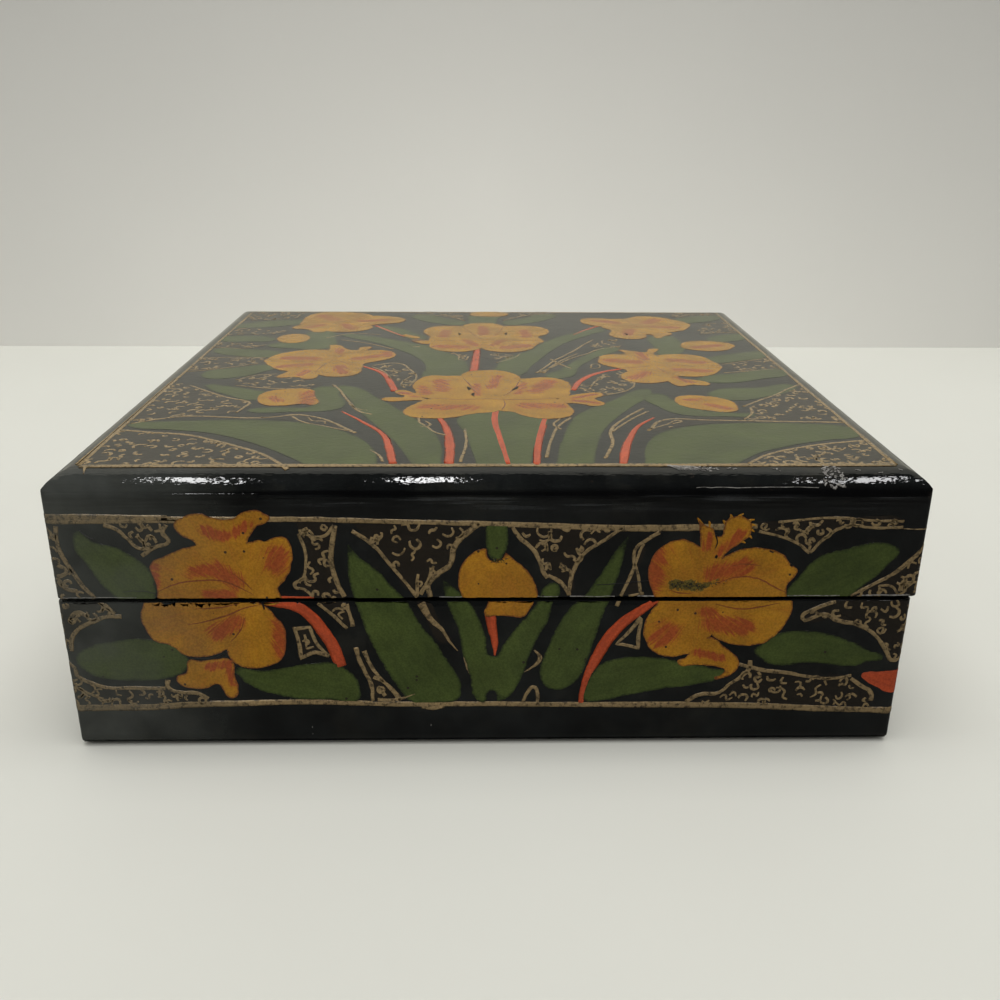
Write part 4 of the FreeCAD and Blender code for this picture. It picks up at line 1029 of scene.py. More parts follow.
# The top, from the photo. Points are x and y in millimetres.
topDrawing = {
    "wriggle": (0.8, 3.6),
    "bold": 1.35,
    "leaves": [
        [(-69.9, -46.9), (-63.6, -45), (-55, -44.1), (-46, -43.8), (-40, -44.8), (-33.6, -47.2),
         (-26.9, -52.5), (-22.4, -58.7), (-20.2, -65.3), (-19.5, -70.4, 1), (-32.4, -70.4, 1), (-36.5, -65.5),
         (-43.6, -58.7), (-52, -53), (-61, -50.3), (-68, -49.2)],
        [(70.3, -48.7), (64.2, -46.4), (55.3, -45.9), (45.3, -46.4), (37.6, -48.7), (32, -53.1),
         (29.2, -58.7), (26.8, -70.4, 1), (43.3, -70.4, 1), (47.6, -65.3), (55.3, -60.3), (63.1, -57),
         (70.3, -54.2)],
        [(-37.4, -18.7), (-33.6, -18.7), (-31.9, -25.3), (-29.7, -33.1), (-31.3, -36.4), (-40.2, -38.1),
         (-46.9, -38.7), (-49.1, -37), (-44.7, -34.8), (-36.9, -34.2)],
        [(-33, -17.6), (-29.1, -18.7), (-24.7, -25.3), (-20.2, -33.1), (-15.8, -40.9), (-11.3, -49.8),
         (-9, -58.7), (-8.5, -70.4, 1), (-13.6, -70.4, 1), (-16.9, -59.8), (-20.2, -52), (-23.6, -44.2),
         (-26.9, -36.4), (-30.2, -26.4)],
        [(-4.7, -40), (-4.1, -55.3), (-2.4, -70.4, 1), (7, -70.4, 1), (8.7, -55.3), (10.3, -40)],
        [(35.3, -19.8), (31.4, -22), (27.6, -27.6), (22, -34.2), (17.6, -40.9), (14.8, -49.8), (13.1, -58.7),
         (11.4, -70.4, 1), (18.1, -70.4, 1), (19.8, -59.8), (22, -50.9), (25.3, -43.1), (29.8, -34.2),
         (34.2, -26.4)],
        [(33.7, -25.3), (37.6, -24.2), (39.2, -28.7), (42, -35.3), (49.8, -38.7), (54.2, -39.8),
         (46.4, -41.4), (38.7, -39.8), (35.3, -34.2)],
        [(-39.1, 36.9), (-30.2, 34.7), (-22.4, 29.1), (-15.8, 23.6), (-10.2, 15.8), (-5.8, 6.9), (-4.7, -4),
         (-6.9, -12), (-13.6, -12), (-14.7, 1.3), (-18, 11.3), (-23.6, 20.2), (-30.2, 28), (-36.9, 33.6)],
        [(33.1, 45.8), (25.3, 41.3), (18.7, 33.6), (14.2, 25.8), (10.9, 18), (4.2, 9.1), (2, 0.2), (1.4, -6),
         (6.4, -8), (10.9, 2.4), (14.2, 11.3), (17.6, 20.2), (22, 29.1), (28.7, 38)],
        [(33, 22.4), (27, 16), (22, 8), (18, -1), (14, -10), (18.7, -9.6), (22, 0.2), (26.4, 9.1)],
        [(-63.6, -10.9), (-66, -6), (-58, 0.2), (-53, 2.4), (-48, 1), (-51, -3), (-55.8, -8.7)],
        [(-62.4, -16.4), (-58, -17.6), (-51.3, -20.9), (-46, -25.3), (-49, -29.2), (-55.8, -25.3),
         (-61.3, -19.8)],
        [(-69.1, 19.1), (-61.3, 19.1), (-51.3, 15.2), (-51.6, 11.3), (-61.3, 11.3)],
        [(-48, 41), (-43.6, 42), (-40.2, 31.3), (-39.1, 24.7), (-42.4, 19.3), (-50.2, 20.2), (-56.9, 23.6),
         (-50, 30)],
        [(-71, 47), (-64, 46.5), (-56, 49.5), (-50, 55), (-56, 57.5), (-66, 54)],
        [(-3.8, 66), (4.2, 66), (3.4, 59), (2.0, 52), (-4.2, 52), (-5.0, 58)],
        [(-22, 64.7), (-18, 66.5), (-12, 60), (-5.5, 53), (-8, 50.6), (-14, 53), (-20, 59)],
        [(21, 66), (17, 67.4), (11, 61), (4.6, 54.6), (7, 50.6), (13, 54), (19, 60)],
        [(-30, 49), (-25, 47), (-20, 40), (-16, 32), (-18, 30), (-22, 34), (-27, 41)],
        [(56.4, 11.3), (64.2, 15.8), (70.6, 16.9), (69.8, 11.3), (62, 6.9), (54.5, 4.8), (53, 8)],
        [(50, -8.8), (58.7, -5.3), (69.8, -2), (70.4, -6.4), (63.1, -10.9), (52.4, -14.6), (48, -12)],
        [(49.8, -20.9), (59.8, -18.7), (68.7, -16.4), (66.4, -22), (59.8, -26.4), (53.1, -29.4), (48, -27)],
        [(45.3, 36), (49.8, 36), (51.4, 25.8), (50.4, 17), (45.3, 12.7), (43.6, 24.2)],
        [(56, 60), (62, 64), (69.8, 64.6), (67, 58), (60, 54.6), (55, 54)],
        [(-70.4, 34), (-64, 35), (-57, 33), (-56.4, 29.6), (-63, 28), (-70.2, 29)],
        [(60, 34), (66, 38), (70.4, 38.4), (70.4, 33), (65.6, 29.6), (60, 29)],
    ],
    "stems": [
        ([(1.4, -36.6), (1.1, -44.2), (1.9, -55.3), (3.1, -70.6)], [2.3, 2.1, 1.8, 1.3]),
        ([(-10.2, -41.0), (-8.4, -48.7), (-7.4, -58.7), (-7.2, -70.4)], [1.2, 1.6, 2.0, 1.8]),
        ([(11.4, -40.9), (10.2, -48.7), (8.9, -58.7), (8.0, -70.8)], [1.5, 1.8, 1.7, 1.3]),
        ([(-29.9, -37.6), (-24.7, -45.3), (-20.2, -53.1), (-18.4, -60.9), (-16.9, -70.3)], [0.5, 0.9, 1.2,
          1.7, 1.5]),
        ([(33.1, -42), (29.2, -47.6), (26.4, -55.3), (24.2, -64.2), (23.1, -70.4)], [0.6, 1.0, 1.5, 1.9,
          1.5]),
        ([(-2.4, 22.4), (-2.7, 11.3), (-3.3, -5)], [1.5, 2.1, 2.3]),
        ([(-30.2, 1.8), (-24.7, -5.3), (-21.9, -14.2), (-20.3, -22)], [0.8, 1.5, 1.9, 1.9]),
        ([(33, -0.4), (25.9, -5.3), (21.4, -12), (18.6, -21)], [1.1, 1.7, 1.8, 1.5]),
        ([(-31.4, 50), (-26.9, 42.4), (-22.2, 35)], [1.1, 1.2, 0.8]),
        ([(32, 50), (27.6, 44), (24, 38)], [0.9, 1.0, 0.6]),
    ],
    "flowers": [
        {
            "heart": (1, -27),
            "petals": [
                [(-14.1, -27), (-16, -21.5), (-16.8, -17.6), (-15.8, -12), (-13.6, -8.1), (-9.1, -8.3),
                 (-5.8, -8.4), (-1, -12), (1, -27)],
                [(16.4, -27), (18, -22), (18.5, -16.4), (17.6, -12.6), (14.2, -9.8), (8.3, -10.7), (3, -13),
                 (1, -27)],
                [(-6.2, -10.5), (-5.2, -4.9), (-1.3, -2.9), (3.1, -3.3), (6.4, -6.4), (7.6, -11.5), (5, -20),
                 (2.5, -28), (-2, -28), (-4.6, -19)],
                [(-13, -28.5), (-15.4, -24), (-19.7, -20.9), (-20.3, -22.4), (-19.6, -24.6), (-18, -26.4),
                 (-22.6, -27.6), (-22.2, -29.5), (-15.8, -29.4), (-11, -29)],
                [(14.6, -28.7), (20.9, -23.7), (23.9, -22.9), (25, -25.1), (22.8, -28.1), (24.4, -31.9),
                 (22.6, -33.8), (18.7, -32), (14.8, -30.8)],
                [(-11.4, -27.6), (-15.8, -32.9), (-17.5, -37.6), (-16.3, -41), (-12.4, -42.7), (-6.9, -42),
                 (-3.6, -39.8), (2, -37.4), (3, -28)],
                [(2.5, -37.6), (4.4, -38), (7, -41), (10.9, -43), (15.3, -42), (17.4, -38.7), (17, -34.2),
                 (14.8, -28.6), (4, -26)],
            ],
            "blush": [
                ((-10, -21), (-10.5, -13.6), 1.5), ((-13.4, -24), (-14.6, -18), 1.1),
                ((10.4, -22), (13.6, -13.6), 1.7), ((-13, -34.4), (-4, -34.8), 1.7),
                ((7.6, -33.6), (14.4, -33.6), 1.8), ((0.6, -19), (2.2, -9), 1.1),
                ((-2.4, -25), (-2.2, -16), 0.8), ((6.6, -24), (8, -15), 0.8),
                ((-15.6, -26.4), (-18.6, -23.2), 0.7), ((18, -29.4), (22.6, -31.6), 0.7),
                ((18, -27.6), (22.8, -24.8), 0.6),
            ],
            "veins": [
                [(-5.6, -10.6), (-4.4, -15), (-3.4, -20), (-1.6, -26)],
                [(7.4, -11.6), (6.6, -16), (5.4, -21), (3.4, -26)],
                [(-14.2, -27.2), (-8, -28.6), (0, -28.4), (8, -28.8), (15.6, -27.6)],
                [(2.6, -37), (3.4, -33), (3.2, -29)],
            ],
            "eyes": [
                ([(-4.6, -18.4), (-4.1, -19.8), (-4.3, -21.2)], [0.6, 1.5, 0.5]),
                ([(-3.0, -23.4), (-3.4, -24.6), (-3.0, -26.4)], [0.5, 1.2, 0.3]),
                ([(6.6, -18), (6.0, -19.8), (5.2, -21.4)], [0.7, 1.5, 0.4]),
            ],
        },
        {
            "heart": (-1, 32),
            "petals": [
                [(-14.9, 30), (-15.4, 35.2), (-17, 39.1), (-17.1, 44.7), (-14.1, 48.8), (-10.2, 49.5),
                 (-6.9, 48.9), (-2, 42), (-1, 30)],
                [(14.8, 30), (14.2, 34.7), (17, 39.1), (17.2, 44.7), (14.2, 48.8), (8.7, 49.8), (4.8, 48.9),
                 (1, 42), (0, 30)],
                [(-7.2, 47), (-5.2, 52), (-1.3, 53.9), (2.6, 52.6), (5.4, 47.6), (3, 38), (-1, 30),
                 (-4.4, 38)],
                [(-14.8, 31), (-15.2, 25.8), (-14.1, 20.2), (-10.2, 16.8), (-4.7, 17.2), (-1.3, 21), (0, 30)],
                [(14.9, 31), (13.1, 24.7), (10.9, 19.1), (6.4, 16.2), (1.4, 17.3), (-1.6, 21.2), (-2, 30)],
                [(-13.4, 27), (-15.8, 30.2), (-20.6, 33.4), (-22.6, 37.8), (-20.4, 36.6), (-17.8, 33.8),
                 (-19.9, 30.2), (-19, 28), (-15.8, 25.6)],
            ],
            "blush": [
                ((-12, 22.6), (-6, 21.6), 1.6), ((5, 21.4), (10, 23.6), 1.7), ((-11, 43), (-11.6, 35), 1.2),
                ((10.4, 43), (10.8, 35), 1.2), ((-1, 48), (-0.8, 38), 1.2), ((-5.4, 30), (-3, 24), 0.9),
                ((1.6, 24), (4, 30), 0.9),
            ],
            "veins": [
                [(-6.9, 48.8), (-5, 43), (-3.4, 37), (-1.2, 31)],
                [(4.8, 48.8), (4, 43), (2.4, 37), (0, 31)],
                [(-14.8, 30.6), (-8, 29.6), (-1, 30.6), (7, 29.8), (14.8, 30.4)],
            ],
            "eyes": [
                ([(-7.6, 39.6), (-7.2, 38.2), (-7.4, 36.8)], [0.5, 1.3, 0.4]),
                ([(5.6, 40), (5.3, 38.6), (5.5, 37.2)], [0.5, 1.2, 0.4]),
            ],
        },
        {
            "heart": (-38, 8),
            "petals": [
                [(-53.9, 7), (-53.4, 11.3), (-50.2, 15.9), (-44.7, 18.7), (-39.1, 17.5), (-36.5, 15),
                 (-37, 6), (-52, 4)],
                [(-41.4, 15), (-40.4, 20), (-40.4, 24.3), (-37.8, 23.6), (-36.4, 20.6), (-33.4, 18.2),
                 (-32.6, 21.3), (-29.6, 22), (-30, 19.6), (-31.6, 16.6), (-36, 12)],
                [(-34, 16), (-31, 17.6), (-25.8, 18.1), (-23.5, 15.8), (-22.9, 11.3), (-25.8, 6.9),
                 (-29.1, 4.1), (-31, 1), (-38, 7)],
                [(-30.2, 3), (-29.6, -2), (-30.1, -6.4), (-33.6, -9.3), (-38, -8.3), (-40.4, -5.4), (-42, 2),
                 (-37, 8)],
                [(-54.1, 8), (-53.4, 3.6), (-51.9, 0.8), (-49.7, -2.4), (-45.6, -4.4), (-40, -6), (-37, 0),
                 (-38, 9)],
                [(-39.3, -6), (-39.6, -11.1), (-41.6, -11.7), (-43.6, -9.8), (-48.2, -10), (-47.6, -6.4),
                 (-45, -2.4), (-40, -3)],
            ],
            "blush": [
                ((-49, 9.4), (-42.6, 8.4), 1.5), ((-27.4, 11.6), (-32, 8.6), 1.4),
                ((-33.8, -5), (-35.2, 0.6), 1.4), ((-48.6, 0.4), (-43, 2.6), 1.3),
                ((-38, 20), (-37, 14.6), 0.8), ((-24.8, 11.6), (-25.2, 15.4), 1.2),
                ((-43.6, -8), (-42.4, -3.6), 0.8),
            ],
            "veins": [
                [(-53, 6), (-47, 5.4), (-41, 6.4), (-37.4, 8)],
                [(-36, 15), (-36.6, 11), (-37.4, 8)],
                [(-31, 1.2), (-34, 4), (-37, 7.4)],
                [(-40.2, -5), (-39.4, 1), (-37.6, 7)],
            ],
        },
        {
            "heart": (40, 2),
            "petals": [
                [(27.3, 4.4), (27.5, 9.1), (28.7, 12.5), (33.1, 14.2), (36.8, 13.4), (40, 8), (40, 1),
                 (30, 1)],
                [(35.2, 11.6), (34.8, 16), (34, 19.2), (36.4, 18.2), (38.6, 16.8), (39.8, 16.2), (42, 20.3),
                 (44.3, 20.3), (43.6, 17.6), (42.4, 15.4), (42, 9)],
                [(41.8, 12), (47.6, 14.2), (53.1, 12.5), (55.4, 6.9), (56, 1.3), (50, 0), (40, 1.6)],
                [(55.9, 2.6), (54.4, -4.2), (50.9, -8.2), (46.4, -8.8), (42.4, -7), (40, 2)],
                [(44.4, -8), (44.2, -10), (47.4, -11.8), (49.4, -13.2), (49.9, -16.4), (45.3, -16.5),
                 (43.1, -17.7), (41.2, -14), (41, -8), (42, -4)],
                [(41.4, -12.4), (39.6, -13.9), (35.3, -14.9), (31.3, -12), (30.8, -7.6), (32.9, -3),
                 (31.2, -0.7), (28.6, 2.6), (36, 5), (41, 1)],
            ],
            "blush": [
                ((30.4, 7.4), (36.4, 5.4), 1.6), ((45.6, 7.6), (52, 5.2), 1.4),
                ((45.4, -2.2), (51.6, -3.4), 1.4), ((33.6, -10), (37, -5.4), 1.5),
                ((46, -14), (43.6, -9.6), 0.9), ((38.8, 15), (39, 8.6), 1.0),
            ],
            "veins": [
                [(55, 2), (49, 1.4), (44, 2.4), (40.6, 2)],
                [(36.8, 13), (38.4, 8), (40, 3)],
                [(42.4, -7), (41.4, -3), (40.4, 1.4)],
                [(30.8, -0.6), (35, 0), (39.4, 1.6)],
            ],
        },
        {
            "heart": (-43, 55),
            "petals": [
                [(-52.4, 50.2), (-53.1, 55.8), (-53.1, 61.3), (-50.8, 68), (-45.8, 70.1), (-40.2, 69.2),
                 (-35.8, 67.4), (-33.4, 63.4), (-38, 56), (-46, 50)],
                [(-34.4, 63.6), (-28, 63.2), (-23.5, 59.1), (-24.6, 54.6), (-30.2, 51.8), (-34, 50),
                 (-42, 53)],
                [(-33.4, 51.4), (-32.2, 45.8), (-35.8, 41.8), (-40.2, 40.7), (-44.3, 42), (-48, 47),
                 (-44, 56)],
                [(-43.8, 44), (-45.9, 40), (-50.4, 44.5), (-54.2, 45.6), (-52.6, 50.6), (-46, 54)],
            ],
            "blush": [
                ((-48.6, 64), (-44, 58.6), 1.6), ((-29.6, 57.8), (-36, 56.4), 1.3),
                ((-37.4, 45.6), (-40, 50.6), 1.3), ((-50, 46.8), (-46.6, 50.4), 1.0),
            ],
            "veins": [[(-52, 51), (-47, 53.6), (-42, 54.6), (-34, 51.6)], [(-34, 63.4), (-38, 59),
                       (-42, 55.4)]],
        },
        {
            "heart": (43, 48),
            "petals": [
                [(27.4, 56.9), (28.7, 60.4), (33.1, 61.4), (36.4, 60.3), (40.6, 60), (44, 50), (36, 48),
                 (29, 52.2)],
                [(39.4, 58), (42, 61.4), (45.3, 64.2), (50.9, 63.7), (55.4, 59.1), (57.9, 53.6), (50, 49),
                 (42, 50)],
                [(57.8, 54.6), (57.1, 46.9), (53.1, 42.3), (47.2, 41.3), (43, 46), (45, 52)],
                [(46.2, 43), (51.4, 39.3), (48.9, 36.2), (46.4, 33.4), (44.8, 38.2), (43.2, 34), (39.8, 32.1),
                 (35.8, 33.5), (33.6, 38), (34.8, 43.6), (33, 49.3), (40, 52)],
            ],
            "blush": [
                ((32, 57.4), (37.6, 54.4), 1.4), ((50, 59), (46.4, 54), 1.6),
                ((38.8, 38.4), (40.2, 44), 1.5), ((53.4, 47.4), (47.4, 49), 1.2),
            ],
            "veins": [[(57, 52), (51, 49), (44, 49), (36, 48.4)], [(40.8, 60), (42, 54), (43, 49)]],
            "eyes": [([(38.2, 39.6), (38.7, 38.4), (38.4, 37.2)], [0.5, 1.2, 0.4])],
        },
        {
            "heart": (0.5, 64),
            "petals": [[(-4.8, 66.9), (-3.6, 70.1), (0.3, 71), (4.8, 70.3), (7, 66.9), (4.8, 64.1),
                (-0.2, 63.5), (-4.1, 64.7)]],
        },
        {
            "heart": (-43, -34),
            "petals": [[(-48.8, -28.7), (-47.6, -22), (-43.6, -20.2), (-38.4, -20.8), (-37.3, -25.3),
                (-36.2, -33), (-38.5, -32.2), (-43, -33.7), (-46.4, -33.2)]],
            "blush": [((-38, -31.4), (-38.6, -23.4), 1.5), ((-46, -27), (-44, -30), 0.9)],
        },
        {
            "heart": (50, -36),
            "petals": [[(39.6, -28.7), (41.3, -25.8), (46.4, -25.7), (50.4, -28), (52, -33.1), (50, -37.9),
                (44.2, -36.6), (40.2, -33.3)]],
            "blush": [((49.4, -35.6), (46, -32.6), 1.0), ((42, -29), (44.6, -28.6), 0.8)],
        },
        {
            "heart": (-48, 31),
            "petals": [[(-56, 33.6), (-54.1, 37), (-50.8, 37.9), (-48, 35.4), (-47.2, 31.3), (-49, 27.3),
                (-53, 26.8), (-55.4, 29.7)]],
        },
        {
            "heart": (52, 21),
            "petals": [[(50.8, 24.7), (53.1, 28.7), (57.6, 30.1), (62.6, 28.7), (65, 25.8), (63.8, 21.3),
                (59.8, 18.1), (54.2, 18.5), (51, 21.3)]],
            "blush": [((54.6, 22), (60.6, 24.4), 1.2)],
        },
    ],
    "patches": [
        {"outline": [(-70.5, -50.6, 1), (-64, -52), (-57, -53.5), (-51, -57), (-46, -60.5), (-41, -64.5),
            (-35.6, -70.9, 1), (-70.5, -70.9, 1)]},
        {"outline": [(44.6, -70.7, 1), (49.8, -65.3), (57.6, -60.9), (70.5, -57, 1), (70.5, -70.7, 1)],
            "spacing": 1.9},
        {"outline": [(-50, -42.4), (-43, -41), (-39, -40), (-35, -41.5), (-31, -45), (-28, -49),
            (-25.5, -52.5), (-27.4, -51.4), (-31, -48.6), (-36, -45.5), (-42, -43.4)], "spacing": 9},
        {"outline": [(-70.5, -14, 1), (-65, -17.5), (-60, -23), (-55, -27.5), (-50, -31), (-51, -38.5),
            (-56, -40.6), (-62, -41.6), (-70.5, -46.4, 1)]},
        {"outline": [(-57, -12.4), (-52, -7), (-46, -8), (-40, -12), (-37, -17), (-47, -19.5), (-56, -16.6)]},
        {"outline": [(-28, 1.6), (-22, 4), (-16.4, -6), (-16.6, -16), (-19, -19.4), (-21.6, -10), (-25, -3)]},
        {"outline": [(31, -3.6), (33.4, -13), (31, -20.6), (25, -25.6), (19.6, -20), (23, -10)]},
        {"outline": [(53.4, -34.4), (57, -30), (62, -25), (66.4, -19.8), (70.5, -15.6, 1), (70.5, -44.6, 1),
            (50.9, -43.1), (54.2, -38)]},
        {"outline": [(30.3, -50.6), (35.3, -43.8), (50.9, -44.4), (44, -46), (37.6, -48.3)], "spacing": 9},
        {"outline": [(26.6, 23), (30, 31), (35, 32.4), (36, 25), (33, 19.6)], "spacing": 1.9},
        {"outline": [(56.6, 3), (62, 5.8), (70.5, 10, 1), (70.5, -0.6, 1), (60, -3.6)]},
        {"outline": [(-70.5, 9.4, 1), (-61, 10), (-54.6, 9.6), (-55, 4), (-64, -2), (-70.5, -5, 1)]},
        {"outline": [(-70.5, 21.4, 1), (-62, 20.6), (-57.6, 25), (-64, 26.6), (-70.5, 27.6, 1)]},
        {"outline": [(-70.5, 36, 1), (-64, 37), (-57, 37.6), (-55, 44), (-64, 45), (-70.5, 45.6, 1)]},
        {"outline": [(-70.5, 57, 1), (-64, 56.6), (-55.4, 60), (-54, 66), (-55, 70.2, 1), (-70.5, 70.2, 1)]},
        {"outline": [(58.6, 40), (64, 40.4), (70.5, 41, 1), (70.5, 56, 1), (61, 52.6), (59.6, 46)]},
        {"outline": [(57.6, 62), (62, 65.6), (70.5, 66.6, 1), (70.5, 70.2, 1), (52, 70.2, 1)]},
        {"outline": [(-20, 69.8), (-11, 69.6), (-6.4, 66), (-6, 58), (-12, 63)]},
        {"outline": [(20, 69.8), (11, 69.6), (8, 66), (5, 58.6), (12, 64)]},
        {"outline": [(8.6, 14), (6, 8), (0, 9), (0, 16), (4, 15)], "spacing": 2.0},
        {"outline": [(-4.4, 15), (-4.2, 10), (-6.6, 8.4), (-10, 15)], "spacing": 2.0},
        {"outline": [(-19, 27), (-15, 24), (-14, 17), (-12, 12), (-22, 25)], "spacing": 9},
    ],
    "lines": [
        ([(-70.4, -71.2), (-50, -71), (-20, -70.9), (10, -70.8), (40, -70.8), (70.6, -70.7)], 1.15),
        ([(-70.6, -71), (-70.6, -40), (-70.5, 0), (-70.5, 40), (-70.3, 70.2)], 0.6),
        ([(-71.4, -70.2), (-71.3, -40), (-71.2, -10)], 0.3),
        ([(70.6, -70.8), (70.6, -40), (70.5, 0), (70.4, 40), (70.3, 70.2)], 0.8),
        ([(-70.3, 70.3), (-35, 70.4), (0, 70.4), (35, 70.3), (70.3, 70.3)], 0.7),
        ([(-69.5, -71), (-69, -73.4)], [0.7, 0.15]),
        ([(-70.2, -50.4), (-64, -52), (-57, -53.5), (-51, -57), (-46, -60.5), (-41, -64.5), (-36.5, -70),
          (-34.8, -72.4)], 0.8),
        ([(44.9, -70.4), (49.8, -65.3), (57.6, -60.9), (64, -58.6), (70.3, -57)], 0.6),
        ([(-69.6, -46.4), (-65, -43), (-60, -41.2), (-52, -41.9), (-46, -42.4), (-42, -41.4), (-39, -40.1),
          (-35, -41.5), (-31, -45), (-28, -49), (-25.4, -52.4)], 0.6),
        ([(-39.6, -40.8), (-36.6, -45), (-31, -48.5), (-27, -51)], 0.5),
        ([(-36, -42), (-34.6, -44.4), (-32.4, -44.8), (-32, -46.4)], 0.4),
        ([(-66, -17), (-60, -23), (-55, -27.5), (-50, -31), (-50.4, -35), (-51, -38.6)], 0.55),
        ([(-57, -12.4), (-53, -7.8), (-48.6, -6.6)], 0.5),
        ([(-56, -17), (-47, -19.7), (-39, -19.2)], 0.5),
        ([(-34.6, -16), (-32.4, -21), (-30.5, -27), (-29, -31), (-26, -38), (-23.6, -39.9)], 0.55),
        ([(-29.4, -31), (-27, -35.6), (-24.8, -37)], 0.4),
        ([(-14.1, -42), (-13.6, -45.6), (-12.2, -48), (-10.6, -51.6), (-8.2, -53.9)], 0.55),
        ([(-12.6, -44.4), (-11.6, -47.4), (-13.4, -48.4)], 0.45),
        ([(-4.7, -49.6), (-4.4, -58.7), (-5.3, -69.4)], 0.45),
        ([(16.4, -42), (13.6, -47.6), (11.3, -57.6), (9.9, -67)], 0.55),
        ([(14.2, -42.6), (12.6, -47), (13.8, -50)], 0.45),
        ([(32, -35.2), (27.2, -42.4), (23.3, -50.9), (22.8, -58), (20.3, -67.4)], 0.55),
        ([(32.6, -37.4), (28.6, -42.8), (24.9, -49), (23.6, -51.4)], 0.45),
        ([(-21.6, -62.6), (-19.6, -66), (-18.8, -69)], 0.5),
        ([(30.5, -51), (35.3, -43.4), (43, -43.8), (50.9, -44.2), (60, -44.8), (70.3, -45.3)], 0.6),
        ([(30.6, -50.2), (34.6, -47), (38, -44.2), (36, -46.4)], 0.45),
        ([(54.4, -34.4), (53.6, -39), (50.9, -43.4)], 0.55),
        ([(53, -34), (58, -28.8), (62.6, -24.4), (66.4, -19.8), (70.2, -15.8)], 0.6),
        ([(30.8, -3.2), (33.2, -12), (31, -20.4), (25, -25.4)], 0.45),
        ([(28, -8), (25, -12), (22.8, -18)], 0.45),
        ([(-27.6, 1.8), (-22, 4.2), (-18.4, -2), (-16.4, -9), (-17.6, -17.4)], 0.5),
        ([(-27.6, 0.6), (-24.2, -4.4), (-22.2, -11)], 0.45),
        ([(-17.4, -8), (-19.4, -15), (-18.4, -19)], 0.45),
        ([(20, -1), (17.4, 4), (15.6, 9)], 0.5),
        ([(13, -5.6), (15.4, 1), (18.6, 8), (23, 15)], 0.5),
        ([(-8.8, 16), (-7, 12), (-6.2, 7.4), (-4.6, 12)], 0.45),
        ([(8.4, 14.4), (6.6, 10), (2.2, 5)], 0.45),
        ([(-38.6, 30.6), (-32, 27), (-24, 19.6)], 0.45),
        ([(-43, 33), (-37, 38.6), (-29, 37.6)], 0.45),
        ([(11.4, -5.4), (14, 0.9), (16.7, 7.6), (18.9, 11.7), (22.3, 18.2), (25.7, 25.8), (28.6, 31.4)], 0.5),
        ([(12.2, -5), (15.5, 0.3), (18, 4.9), (22, 11.1), (25.2, 14.6), (29, 19.8), (31.9, 21.3),
          (35.2, 24.3)], 0.45),
        ([(24.7, 0.4), (26.1, 3.6), (26.9, 0.4), (25.2, -0.9), (24.6, 0.2)], 0.4),
        ([(-70.2, 9.6), (-61, 10.2), (-54.6, 9.8)], 0.45),
        ([(-70.2, -4.8), (-64, -2), (-55, 4)], 0.45),
        ([(70.2, 10.2), (62, 6), (57, 3.4)], 0.45),
        ([(70.2, -0.8), (60, -3.8), (55.6, -5)], 0.45),
        ([(-70.2, 21.4), (-62, 20.6), (-57.4, 24.6)], 0.45),
        ([(59, 39), (64, 40.6), (70.2, 41)], 0.45),
        ([(-21, 67), (-12, 64), (-6, 57)], 0.4),
        ([(21, 68), (12, 65), (5, 57.6)], 0.4),
    ],
    "scuffs": [
        # pale dabs on the rolled edge: chips, and painted glints
        *dabs((32.4, -72.0), (41.5, -72.2), 0.35, 34),
        *dabs((36, -71.6), (38, -72.9), 0.3, 14),
        *dabs((57.2, -75.4), (60.4, -75.5), 0.2, 14),
        *dabs((57.2, -72.4), (60.4, -72.2), 0.25, 10),
        *dabs((57.6, -73.6), (60.2, -74.2), 0.5, 12),
        *dabs((48.5, -72.2), (50.2, -72.6), 0.3, 6),
        # a painted highlight along the foot of the rolled edge
        ([(35, -75.55), (42, -75.6), (49, -75.55), (56, -75.6)], [0.02, 0.05, 0.05, 0.04]),
        *[([(30.6 + n * 0.55, -71.0 - n * 0.06), (32.6 + n * 0.55, -72.7 - n * 0.03)], [0.3, 0.1])
          for n in range(9)],
        *dabs((30.4, -71.2), (32.2, -71.7), 0.25, 22),
        *dabs((57.8, -71.4), (57.3, -75.2), 0.25, 24),
        *dabs((58.8, -71.2), (60.6, -74.6), 0.3, 26),
        ([(63, -72.6), (63.8, -72.8)], 0.2),
        ([(66.8, -73.4), (67.6, -73.2)], 0.2),
        ([(70.6, -72.4), (71.2, -72.8)], 0.2),
    ],
}


# From the flat drawing to the box. Each side has a direction to its right as one faces it, and an
# outward one. Its drawing starts in the middle of its foot.
sideFrames = {
    "front": (Vector((1, 0, 0)), Vector((0, -1, 0))),
    "right": (Vector((0, 1, 0)), Vector((1, 0, 0))),
    "back": (Vector((-1, 0, 0)), Vector((0, 1, 0))),
    "left": (Vector((0, -1, 0)), Vector((-1, 0, 0))),
}


# How far the box between these corners goes in that direction
def reach(low, high, direction):
    return max(low.dot(direction), high.dot(direction))


def sidePlacer(side, low, high):
    right, out = sideFrames[side]
    radius = case["cornerRound"] - case["skinInset"]
    face = reach(low, high, out) - case["skinInset"]
    ends = (-reach(low, high, -right) + case["cornerRound"], reach(low, high, right) - case["cornerRound"])

    def place(point):
        u = min(max(point.x, ends[0]), ends[1])
        turn = min(abs(point.x - u) / radius, math.pi / 2)
        beyond = abs(point.x - u) - turn * radius
        along = u + math.copysign((radius + point.z) * math.sin(turn), point.x - u)
        outward = face - radius + (radius + point.z) * math.cos(turn) - beyond
        return right * along + out * outward + Vector((0, 0, point.y))

    eighth = radius * math.pi / 4  # each side's paint goes round to the middle of its corners
    bends = [end + sign * eighth * step / 3 for end, sign in zip(ends, (-1, 1)) for step in range(4)]
    return place, bends


